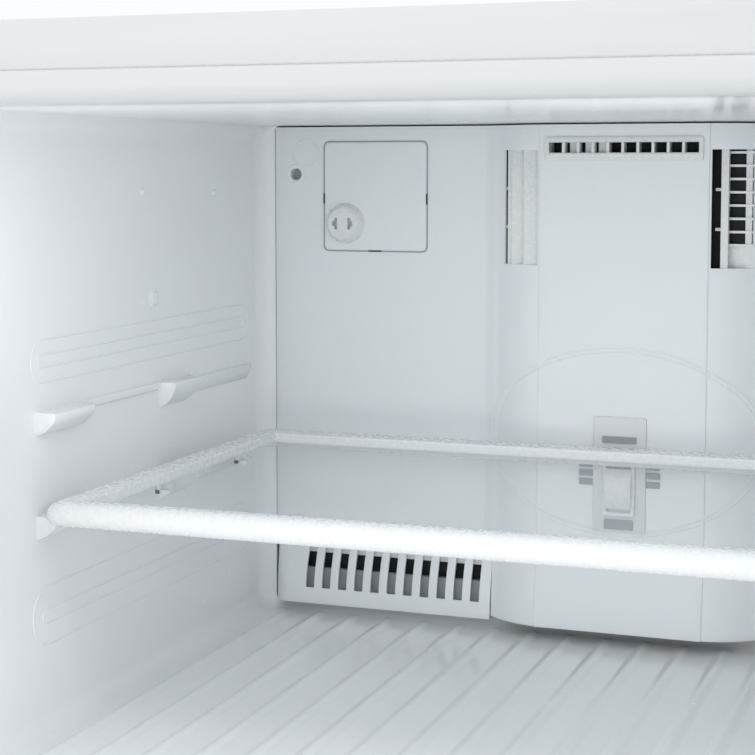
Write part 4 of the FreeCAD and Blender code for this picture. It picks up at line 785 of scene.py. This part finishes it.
@dataclass
class FreezerLiner:
    """The moulded tub of the freezer with its rails, strips and ridges, in millimetres."""

    rear: float = 58.0
    ledge: float = 13.6
    rear_round: float = 17.0
    kerb: float = 7.0
    corner: float = 16.0
    lip: float = 21.0
    lip_round: float = 10.0
    wall: float = 2.0
    ridge_pitch: float = 32.3
    ridge_count: int = 19
    ridge_half: float = 7.5
    ridge_rise: float = 2.0
    ridge_shift: float = -10.0
    strips: Sequence[tuple[float, float, float, float]] = (
        (-391.0, -31.0, -185.0, -155.0), (-382.0, -40.0, -174.4, -165.5),
        (-393.0, -31.0, -370.0, -328.5), (-380.0, -44.0, -355.0, -345.0))
    bosses: Sequence[tuple[float, float, float]] = ((-226.0, -55.0, 2.6), (-100.0, -57.6, 2.6))
    plug: tuple[float, float] = (-210.0, -137.7)
    rails: Sequence[float] = (-204.5, -277.0)

    def ring(self, y: float, side: float, rise: float, drop: float, corner: float) -> list[Point]:
        """A ring of the tub at a depth, larger than its walls, ceiling and floor by these amounts."""
        loop = rounded(PLACE.right + side * MM, PLACE.floor - drop * MM, PLACE.ceiling + rise * MM,
                       corner * MM, 8)
        return [(x, y, z) for x, z in loop]

    def tub(self) -> bpy.types.Object:
        """Lofts the tub from its back, out to the lip, and back over its outer skin."""
        back, step = PLACE.cover + self.rear * MM, PLACE.cover - 1.5 * MM
        kerb = self.kerb
        rings = [self.ring(y, -self.ledge, 0, -kerb, 4.0) for y in (back, step)]
        for i in range(9):
            turn = math.pi / 2 * i / 8
            inset = self.ledge * (1 - math.sin(turn))
            depth = step - self.rear_round * MM * (1 - math.cos(turn))
            rings.append(self.ring(depth, -inset, 0, -kerb * (1 - math.sin(turn)),
                                   4.0 + (self.corner - 4.0) * i / 8))
        front = PLACE.front
        for i in range(9):
            turn = math.pi / 2 * i / 8
            rings.append(self.ring(front + self.lip_round * MM * (1 - math.sin(turn)),
                                   *[self.lip_round * (1 - math.cos(turn))] * 3, self.corner))
        for y, grow in ((front, self.lip - 1.5), (front + 1.5 * MM, self.lip),
                        (front + 12 * MM, self.lip), (front + 12 * MM, self.wall),
                        (back + 2 * MM, self.wall)):
            rings.append(self.ring(y, grow, grow, grow, self.corner))
        return settle(Solid().loft(rings).object("freezer_tub"))

    def floor_ridges(self) -> bpy.types.Object:
        """Rounded ridges from front to back on the floor."""
        start, end = PLACE.front + 24 * MM, PLACE.cover - 9 * MM
        stations = [(start, 0.15), (start + 5 * MM, 0.8), (start + 12 * MM, 1.0),
                    (end - 12 * MM, 1.0), (end - 5 * MM, 0.85), (end, 0.2)]
        first = (self.ridge_shift - (self.ridge_count - 1) / 2 * self.ridge_pitch) * MM
        rings = []
        for y, share in stations:
            arc = [(1 - i / 6, (1 - math.cos(math.pi * i / 6)) / 2) for i in range(13)]
            half, rise = self.ridge_half * MM * (0.6 + 0.4 * share), self.ridge_rise * MM * share
            points = [(first + c * half, y, PLACE.floor + s * rise) for c, s in arc]
            rings.append(points + [(first - half, y, PLACE.floor - 0.8 * MM),
                                   (first + half, y, PLACE.floor - 0.8 * MM)])
        ridge = Solid().loft(rings).object("freezer_floor_ridges")
        return repeated(ridge, Slot.LINER, self.ridge_count, (self.ridge_pitch * MM, 0, 0))

    def lug(self, solid: Solid, y: tuple[float, float], top: float, reach: float, height: float,
            front: float, rear: float) -> None:
        """Adds a shelf support on the left wall, which fades into the wall at both ends.

        Args:
            solid: the mesh that it is added to.
            y: its front and rear ends.
            top: the height of its top face.
            reach: how far it stands out.
            height: how tall it is at the wall.
            front: the share of its reach at the front end.
            rear: the share of its reach at the rear end.
        """
        rings = []
        for at, share in ((y[0], front * 0.8), (y[0] + 1.6, front), (y[0] + 5, 1.0), (y[1] - 9, 1.0),
                          (y[1] - 3, max(rear, 0.5)), (y[1], rear)):
            out, tall = reach * share, height * (0.35 + 0.65 * share)
            outline = [(-1.0, 0.4), (out - 2.0, 0.0), (out - 0.5, -0.6), (out, -2.2),
                       (out - 0.4, -5.0), (out * 0.82, -tall * 0.52),
                       (out * 0.45, -tall * 0.84), (-1.0, -tall - 1)]
            rings.append([PLACE.at(PLACE.wall + max(x, -1.0), at, top + z) for x, z in outline])
        solid.loft(rings)

    def shelf_rails(self) -> bpy.types.Object:
        """The shelf supports on both walls, each pair joined by a low rib."""
        solid = Solid()
        for top in self.rails:
            self.lug(solid, (-387.0, -322.0), top, 16.0, 16.5, 0.95, 0.25)
            self.lug(solid, (-205.0, -150.0), top, 14.0, 20.0, 0.45, 0.3)
            self.lug(solid, (-324.0, -200.0), top + 0.5, 3.2, 7.0, 1.0, 1.0)
            self.lug(solid, (-152.0, -27.0), top - 3.0, 4.0, 13.0, 1.0, 0.2)
        return settle(solid.mirrored().object("freezer_shelf_rails"), 30)

    def embossing(self) -> bpy.types.Object:
        """The long rounded outlines on the walls and the ring of the plug, as fine beads."""
        paths = []
        for side in (-1, 1):
            x = side * (PLACE.right + 0.2 * MM)
            for front, rear, low, high in self.strips:
                middle, half = (front + rear) / 2, (rear - front) / 2
                loop = rounded(half, low, high, (high - low) / 2 - 0.01, 10)
                paths.append([(x, PLACE.cover + (middle + y) * MM, PLACE.ceiling + z * MM)
                              for y, z in loop])
        return beads("freezer_wall_embossing", paths, 0.7 * MM, Slot.LINER)

    def seam(self) -> bpy.types.Object:
        """The bead of sealant between the lip and the steel round it."""
        grow = (self.lip + 0.4) * MM
        radius = 0.9 * MM
        loop = rounded(PLACE.right + grow, PLACE.floor - grow, PLACE.ceiling + grow,
                       self.corner * MM, 8)
        path = [(x, PLACE.front + radius, z) for x, z in loop]
        return beads("freezer_lip_seam", [path], radius, Slot.WHITE)

    def buttons(self) -> bpy.types.Object:
        """Small bosses and the round plug on both walls."""
        solid = Solid()
        for y, z, radius in (*self.bosses, (*self.plug, 8.0), (*self.plug, 5.4)):
            proud = 1.0 if radius > 7 else 2.4
            rings = []
            for share, out in ((1.0, -1.0), (1.0, proud * 0.5), (0.86, proud * 0.92), (0.5, proud),
                               (0.02, proud)):
                rings.append([PLACE.at(PLACE.wall + out, y + radius * share * c,
                                       z + radius * share * s) for c, s in circle(28)])
            solid.loft(rings)
        return settle(solid.mirrored().object("freezer_wall_buttons"))

    def build(self) -> None:
        """Builds and hands over all the pieces."""
        hand_over(self.tub(), Slot.LINER, "freezer_liner")
        for piece in (self.floor_ridges(), self.shelf_rails(), self.embossing(), self.buttons()):
            hand_over(piece, Slot.LINER)
        hand_over(self.seam(), Slot.WHITE)


Hole = tuple[float, float, float, float]


class Panel:
    """A sheet over a grid of X and Z lines, bent by a rule, with rectangular openings."""

    def __init__(self, surface: Callable[[float, float], float], xs: Iterable[float],
                 zs: Iterable[float], holes: Sequence[Hole]) -> None:
        """Keeps the rule and the lines, in millimetres from PLACE.

        Args:
            surface: the depth of the sheet at (x, z), less towards the front.
            xs: lines across.
            zs: lines upwards.
            holes: openings as (left, right, low, high).
        """
        self.surface = surface
        self.xs = sorted(set(round(x, 3) for x in xs) | {h[i] for h in holes for i in (0, 1)})
        self.zs = sorted(set(round(z, 3) for z in zs) | {h[i] for h in holes for i in (2, 3)})
        self.holes = holes

    def open(self, x: float, z: float) -> bool:
        """Whether a point is in an opening."""
        return any(left < x < right and low < z < high for left, right, low, high in self.holes)

    def build(self, name: str, wall: float, edge: float) -> bpy.types.Object:
        """Makes the sheet, gives it a wall behind its face and softens its edges."""
        solid = Solid()
        across = len(self.xs)
        solid.points = [PLACE.at(x, self.surface(x, z), z) for z in self.zs for x in self.xs]
        for k in range(len(self.zs) - 1):
            for i in range(across - 1):
                x, z = (self.xs[i] + self.xs[i + 1]) / 2, (self.zs[k] + self.zs[k + 1]) / 2
                if not self.open(x, z):
                    a = k * across + i
                    solid.faces.append((a, a + 1, a + across + 1, a + across))
        piece = thicken(solid.object(name, closed=False), wall * MM)
        return settle(soften(piece, edge * MM, 2, 50), 30)


def spread(low: float, high: float, step: float) -> list[float]:
    """Even lines from low to high, about a step apart."""
    count = max(1, round((high - low) / step))
    return [low + (high - low) * i / count for i in range(count + 1)]


def ease(t: float) -> float:
    """A smooth step from 0 to 1."""
    t = min(max(t, 0.0), 1.0)
    return t * t * (3 - 2 * t)


@dataclass
class CoilCover:
    """The moulded cover over the coil, in millimetres: duct, grilles, plate, socket and control."""

    half: float = 316.0
    top: float = -1.2
    foot: float = -364.0
    duct_foot: float = -419.0
    panel: float = 69.5
    side: float = 109.7
    shoulder: float = 123.8
    depth: float = 24.0
    crease: float = -212.0
    vent: Hole = (-62.5, 62.5, -28.5, -14.0)
    louvre: tuple[float, float, float, float] = (71.5, 103.5, -117.0, -22.0)
    plate: Hole = (-269.9, -174.8, -109.0, -14.0)
    port: tuple[float, float] = (-296.7, -42.4)
    plate_corner: float = 4.5
    ring: tuple[float, float, float] = (-286.8, -24.1, 11.8)
    port_half: float = 5.0
    slide: Hole = (-6, 6, -320, -278)
    step: float = 5.0
    belly: float = 0.4
    flare: float = 9.0
    return_foot: float = -421.0
    return_span: tuple[float, float] = (115.0, 305.0)
    slot_count: int = 11
    slot_first: float = 126.4
    slot_pitch: float = 15.2
    slot_width: float = 8.0
    slot_ends: tuple[float, float] = (-407.0, -370.0)
    oval_middle: float = -261.0
    ovals: Sequence[Flat] = ((115.0, 78.0), (111.5, 74.5))
    sheet: float = 2.4

    def depth_at(self, x: float, z: float) -> float:
        """How deep the cover's face is at a point."""
        a = abs(x)
        if a <= self.panel:
            out = self.depth
        elif a <= self.side:
            t = (a - self.panel) / (self.side - self.panel)
            out = self.step + (self.depth - self.step - 1.5) * (1 - t ** 1.7)
        else:
            out = self.step * (1 - ease((a - self.side) / (self.shoulder - self.side)))
        swell = ease((self.crease - z) / 60) * self.belly + ease((-345 - z) / 70) * self.flare
        return -(out + swell * (1 - ease((a - self.side) / 26)))

    def sheets(self) -> None:
        """The cover's sheet and duct."""
        left, right, low, high = self.louvre
        (x, z), port = self.port, self.port_half
        holes = [self.vent, (left, right, low, high), (-right, -left, low, high), self.slide,
                 (x - port, x + port, z - port, z + port),
                 (-self.half - 1, -self.side - 3, self.duct_foot - 1, self.foot),
                 (self.side + 3, self.half + 1, self.duct_foot - 1, self.foot)]
        xs = [*spread(-self.half, -self.shoulder, 24),
              *spread(-self.shoulder, -self.panel - 0.6, 3.2),
              *spread(-self.panel, self.panel, 14),
              *spread(self.panel + 0.6, self.shoulder, 3.2),
              *spread(self.shoulder, self.half, 24)]
        zs = [*spread(self.duct_foot, self.crease, 7), *spread(self.crease, self.top, 14)]
        panel = Panel(self.depth_at, xs, zs, holes)
        panel.xs = [x for x in panel.xs if abs(x) <= self.half]
        panel.zs = [z for z in panel.zs if z >= self.duct_foot]
        hand_over(panel.build("coil_cover", self.sheet, 0.5), Slot.COVER, "evaporator_cover")

    def linings(self) -> None:
        """Black blocks of painted shade behind the air openings, a grey sill of painted shade behind
        the return slots, and the brow of the return slots.
        """
        foam, sill, brow = Solid(), Solid(), Solid()
        # Black blocks of painted shade behind the grille, the louvres and the return slots.
        foam.block(PLACE.at(-106, -5, -121), PLACE.at(106, -3, -8))
        for side in (-1, 1):
            left, right = sorted(side * x for x in self.return_span)
            foam.block(PLACE.at(left, 1, -394), PLACE.at(right, 3, -362))
            # The grey sill behind the lower part of the return slots is painted shade.
            sill.block(PLACE.at(left, -6, -417), PLACE.at(right, -1, -391))
            brow.block(PLACE.at(left, -0.6, -378), PLACE.at(right, 0.8, -363))
        hand_over(settle(foam.object("air_duct_painted_shade")), Slot.DARK)
        hand_over(settle(sill.object("return_sill")), Slot.GREY)
        hand_over(settle(brow.object("return_brow")), Slot.COVER)

    def lean(self, x: float, z: float) -> float:
        """The depth of the return grille, whose foot stands out."""
        lean = math.sin(math.pi / 2 * min(max((self.foot - z) / 50, 0.0), 1.0))
        t = min(max((abs(x) - 298) / 16, 0.0), 1.0)
        return -1.0 - (14.5 * lean + 1.0) * math.sqrt(max(0.0, 1 - t * t))

    def return_grilles(self) -> None:
        """The slotted strips under the cover on both sides of the duct."""
        near, bend, far = self.side + 3.2, 296, 314.0
        for side, name in ((-1, "return_grille_left"), (1, "return_grille_right")):
            holes = []
            for i in range(self.slot_count):
                centre = side * (self.slot_first + i * self.slot_pitch)
                half = self.slot_width / 2
                holes.append((centre - half, centre + half, *self.slot_ends))
            lines = [side * x for x in (*spread(near, bend, 8), *spread(bend, far, 1.5))]
            panel = Panel(self.lean, lines, spread(self.return_foot, self.foot + 0.5, 5), holes)
            hand_over(panel.build(name, self.sheet, 0.9), Slot.COVER, "return_air_grille")

    def air_grille(self) -> None:
        """The framed row of cells at the head of the duct."""
        loops = []
        for half, low, high, y in (
                (65, -31, -11.5, -23.5), (65, -31, -11.5, -26.0), (64.2, -30.2, -12.3, -26.6),
                (62.2, -25.6, -15.2, -26.6), (61.4, -24.4, -16.0, -25.6), (61.4, -24.4, -16.0, -8.0),
                (63.5, -27, -13.6, -8.0), (63.5, -27, -13.6, -23.5)):
            corner = 2.2 if half > 63 else 0.6
            loops.append(PLACE.upright(y, half, low, high, corner))
        rim = Solid().loft(loops, capped=False, joined=True).object("air_grille_frame")
        hand_over(settle(rim), Slot.WHITE, "top_air_grille")
        bar = Solid().block(PLACE.at(-50.6, -25.0, -25), PLACE.at(-48.4, -14, -15.5))
        bars = soften(bar.object("air_grille_bars"), 0.3 * MM)
        hand_over(repeated(bars, Slot.WHITE, 9, (12.3 * MM, 0, 0)), Slot.WHITE, "top_air_grille")
        vane = Solid()
        for left, wide in ((-46, 6), (-33, 9), (-22, 7)):
            vane.block(PLACE.at(left, -16, -24.2), PLACE.at(left + wide, -14, -16))
        hand_over(settle(vane.object("air_grille_vanes")), Slot.COVER)

    def louvres(self) -> None:
        """The upright vanes on the duct's sides, and the cells of the right one."""
        low, high = self.louvre[2] - 0.5, self.louvre[3] + 0.5
        vanes = Solid()
        for near, far in ((-84.2, -71.2), (-95.6, -85.2), (-100.2, -96.4), (78.4, 84.2),
                          (96.8, 101.8)):
            y = self.depth_at((near + far) / 2, -60) + 2.2
            vanes.block(PLACE.at(near, y, low), PLACE.at(far, y + 9, high), 1.0 * MM)
        for x, y in ((-101.8, -6.0), (-85.0, -12.0), (-96.0, -8.0), (76.0, -14.0)):
            for z in (-54.0, -86.0):
                vanes.block(PLACE.at(x - 2.6, y, z - 1.2), PLACE.at(x + 2.6, y + 7, z + 1.2))
        vanes.block(PLACE.at(84, -9.5, low), PLACE.at(103.6, -6.5, -99))
        piece = settle(soften(vanes.object("duct_louvre_vanes"), 0.4 * MM))
        hand_over(piece, Slot.WHITE, "side_louvres")
        cell = Solid().block(PLACE.at(83.6, -12.5, -99.5), PLACE.at(103.7, -6.5, -97.6))
        cells = soften(cell.object("duct_louvre_cells"), 0.3 * MM)
        hand_over(repeated(cells, Slot.WHITE, 8, (0, 0, 10.6 * MM)), Slot.WHITE, "side_louvres")

    def embossing(self) -> None:
        """The double oval, the plate's outline and the knock-out ring."""
        paths = []
        for across, up in self.ovals:
            loop = ((across * c, self.oval_middle + up * s) for c, s in circle(96))
            paths.append([PLACE.at(x, self.depth_at(x, z) + 0.25, z) for x, z in loop])
        x, z, radius = self.ring
        paths.append([PLACE.at(x + radius * c, 0.2, z + radius * s) for c, s in circle(40)])
        hand_over(beads("cover_embossing", paths, 1.0 * MM, Slot.COVER), Slot.COVER)

    def plate_and_port(self) -> None:
        """The blank plate, with its gap and notches drawn in painted shade, and the eyelet beside it.
        """
        left, right, low, high = self.plate
        middle, half = (left + right) / 2, (right - left) / 2
        loop = PLACE.upright(-0.45, half, low, high, self.plate_corner, middle)
        # The gap round the plate is a grey bead of painted shade.
        hand_over(beads("plate_gap_shade", [loop], 0.55 * MM, Slot.GREY), Slot.GREY)
        rings = []
        for grow, y in ((-0.6, 0.8), (-0.6, -0.6), (-1.2, -1.1), (-2.4, -1.2)):
            rings.append(PLACE.upright(y, half + grow, low - grow, high + grow, self.plate_corner,
                                       middle))
        plate = Solid().loft(rings)
        hand_over(settle(plate.object("blank_plate")), Slot.COVER, "ice_maker_plate")
        # The notches are dark blocks of painted shade at the plate's sides and foot.
        notch = Solid()
        notch.block(PLACE.at(left - 0.4, -1.35, -68), PLACE.at(left + 0.8, -0.2, -59))
        notch.block(PLACE.at(right - 0.8, -1.35, -68), PLACE.at(right + 0.4, -0.2, -59))
        notch.block(PLACE.at(middle - 6, -1.35, low - 0.4), PLACE.at(middle + 6, -0.2, low + 0.8))
        hand_over(settle(notch.object("plate_notch_shade")), Slot.DARK)
        centre = PLACE.at(self.port[0], 0, self.port[1])
        outline = [(9.0, -0.5), (9.0, 0.3), (8.4, 0.9), (6.2, 1.0), (5.3, 0.5), (5.3, -9.0),
                   (8.0, -9.0), (8.0, -0.5)]
        eyelet = Solid().lathe(centre, [(radius * MM, reach * MM) for radius, reach in outline], 36,
                               hollow=True)
        hand_over(settle(eyelet.object("port_eyelet")), Slot.COVER)
        plug = Solid().lathe(PLACE.at(self.port[0], 8.5, self.port[1]),
                             [(0, 0), (5.2 * MM, 0), (5.2 * MM, 1.5 * MM), (0, 1.5 * MM)], 24)
        hand_over(settle(plug.object("port_plug")), Slot.GREY)

    def control(self) -> None:
        """The label, bezel, vent slots and bands of the slide control; the vent slots are grey blocks
        of painted shade.
        """
        bezel = []
        for half, grow, y in ((13.5, 0, -26.2), (13.5, 0, -28.2), (12.7, -0.8, -28.9),
                              (10.9, -2.6, -28.9), (10.1, -3.4, -28.2), (10.1, -3.4, -26.2)):
            bezel.append(PLACE.upright(y, half, -322 - grow, -271 + grow, 2.0))
        piece = settle(Solid().loft(bezel, capped=False, joined=True).object("slide_bezel"))
        hand_over(piece, Slot.WHITE)
        label = Solid().block(PLACE.at(-22, -26.0, -336), PLACE.at(22, -24.0, -240), 1.5 * MM)
        hand_over(settle(soften(label.object("control_label"), 0.3 * MM)), Slot.LABEL,
                  "temperature_panel")
        outline = PLACE.upright(-26.0, 21.4, -335.4, -240.6, 1.5)
        hand_over(beads("label_edge", [outline], 0.4 * MM, Slot.WHITE), Slot.WHITE)
        bands = Solid()
        bands.block(PLACE.at(-14, -27.4, -261.5), PLACE.at(14, -26.2, -256), 0.6 * MM)
        bands.block(PLACE.at(-12, -27.4, -333), PLACE.at(12, -26.2, -325), 0.6 * MM)
        # The vent slots beside the label are grey blocks of painted shade.
        for side in (-1, 1):
            for k in range(3):
                left, right = sorted((side * 22.0, side * 33.5))
                z = -277.4 - 7.4 * k
                bands.block(PLACE.at(left, -25.9, z - 5.2), PLACE.at(right, -24.6, z), 0.5 * MM)
        hand_over(settle(bands.object("control_bands")), Slot.GREY)

    def build(self) -> None:
        """Builds and hands over all the pieces."""
        self.sheets()
        self.linings()
        self.return_grilles()
        self.air_grille()
        self.louvres()
        self.embossing()
        self.plate_and_port()
        self.control()


@dataclass
class FreezerShelf:
    """The glass shelf with its moulded frame, in millimetres."""

    half: float = 316.0
    top: float = -262.0
    front: float = -410.0
    rear: float = -31.0
    rims: tuple[float, float, float] = (27.0, 21.0, 36.0)
    profile: Sequence[Flat] = (
        (1.0, -1.6), (0.985, -0.5), (0.94, 0.0), (0.50, 0.0), (0.34, -0.5), (0.20, -1.8),
        (0.09, -4.0), (0.02, -7.0), (0.0, -9.6), (0.02, -12.2), (0.09, -14.4), (0.19, -15.7),
        (0.32, -16.0), (0.42, -15.0), (0.46, -8.0), (1.0, -8.0))
    corner: float = 17.0
    clips: Sequence[float] = (-262.0, -120.0)
    clip_side: float = -303.0

    def frame_ring(self) -> bpy.types.Object:
        """The frame: one bullnose section carried round, with its own width on each side."""
        side, front, rear = self.rims
        loops = []
        for inward, z in self.profile:
            low, high = self.front + inward * front, self.rear - inward * rear
            half = self.half - inward * side
            radius = self.corner * (1 - inward) + 1.5 * inward
            loops.append([PLACE.at(x, y, self.top + z)
                          for x, y in rounded(half, low, high, radius, 8)])
        return settle(Solid().loft(loops, capped=False, joined=True).object("freezer_shelf_rim"), 45)

    def pane(self) -> bpy.types.Object:
        """The glass, held in the frame's rebate."""
        side, front, rear = (rim - 1.2 for rim in self.rims)
        loops = []
        for shrink, z in ((0.6, -6.6), (0.0, -6.0), (0.0, -2.6), (0.6, -2.0)):
            loops.append([PLACE.at(x, y, self.top + z)
                          for x, y in rounded(self.half - side - shrink, self.front + front + shrink,
                                              self.rear - rear - shrink, 3.0, 4)])
        return settle(Solid().loft(loops).object("freezer_shelf_pane"))

    def hooks(self) -> bpy.types.Object:
        """The clips under the side rims that stop the shelf from sliding."""
        solid = Solid()
        left, foot, top = self.clip_side, self.top - 19, self.top - 7
        for y in self.clips:
            solid.block(PLACE.at(left, y, foot), PLACE.at(left + 4, y + 26, top), 1.0 * MM)
            solid.block(PLACE.at(left, y, foot), PLACE.at(left + 11, y + 6, foot + 3), 1.0 * MM)
        return settle(soften(solid.mirrored().object("freezer_shelf_clips"), 0.6 * MM))

    def build(self) -> None:
        """Builds and hands over all the pieces."""
        hand_over(self.frame_ring(), Slot.WHITE, "freezer_shelf_frame")
        hand_over(self.pane(), Slot.GLASS, "freezer_shelf_glass")
        hand_over(self.hooks(), Slot.WHITE)


@dataclass
class Refined:
    """Pieces that keep their shape from the frame and get soft edges."""

    body: str
    edge: float
    nodes: Sequence[str]

    def build(self) -> None:
        """Copies each node, merges it, joins its flat faces and softens its edges."""
        for node in self.nodes:
            mesh = frame["nodes"][node].data.copy()
            work = bmesh.new()
            work.from_mesh(mesh)
            bmesh.ops.remove_doubles(work, verts=work.verts, dist=2e-6)
            bmesh.ops.dissolve_degenerate(work, edges=work.edges, dist=1e-6)
            bmesh.ops.dissolve_limit(work, angle_limit=math.radians(1.5), verts=work.verts,
                                     edges=work.edges)
            work.to_mesh(mesh)
            work.free()
            piece = bpy.data.objects.new(f"{node}_softened", mesh)
            bpy.context.scene.collection.objects.link(piece)
            if "sharp_face" in mesh.attributes:
                mesh.attributes.remove(mesh.attributes["sharp_face"])
            settle(soften(piece, self.edge * MM, 2, 42), 32)
            hand_over(piece, SLOT_OF[node], node, body=self.body)


REFINED = (
    Refined("freezer_door", 2.0, ("freezer_door_shell", "freezer_door_handle")),
    Refined("freezer_door", 1.2, ("freezer_door_liner", "freezer_door_gasket", "freezer_door_bins")),
    Refined("fridge_door", 2.0, ("fridge_door_shell", "fridge_door_handle")),
    Refined("fridge_door", 1.2, ("fridge_door_liner", "fridge_door_gasket", "fridge_door_bins")),
    Refined("dairy_flap", 1.0, ("dairy_lid",)),
    Refined("left_crisper", 1.0, ("crisper_drawer_left",)),
    Refined("right_crisper", 1.0, ("crisper_drawer_right",)),
    Refined("slider", 0.8, ("temperature_slider",)),
    Refined("control_dial", 0.7, ("fridge_control_dial",)),
    Refined("cabinet", 1.4, ("fridge_liner", "cabinet_shell", "fridge_shelf_frames",
                             "fridge_control_housing", "hinge_cover", "toe_grille")),
    Refined("cabinet", 0.5, ("ice_maker_socket", "top_hinge", "centre_hinge", "bottom_hinge",
                             "base_frame", "drain_pan", "power_inlet", "levelling_legs",
                             "cabinet_back")),
)


def main() -> None:
    """Builds the visual model piece by piece."""
    logging.basicConfig(level=logging.INFO, format="%(name)s: %(message)s")
    dress()
    FreezerLiner().build()
    CoilCover().build()
    FreezerShelf().build()
    for group in REFINED:
        group.build()
    Studio().build()


if __name__ == "__main__":
    main()
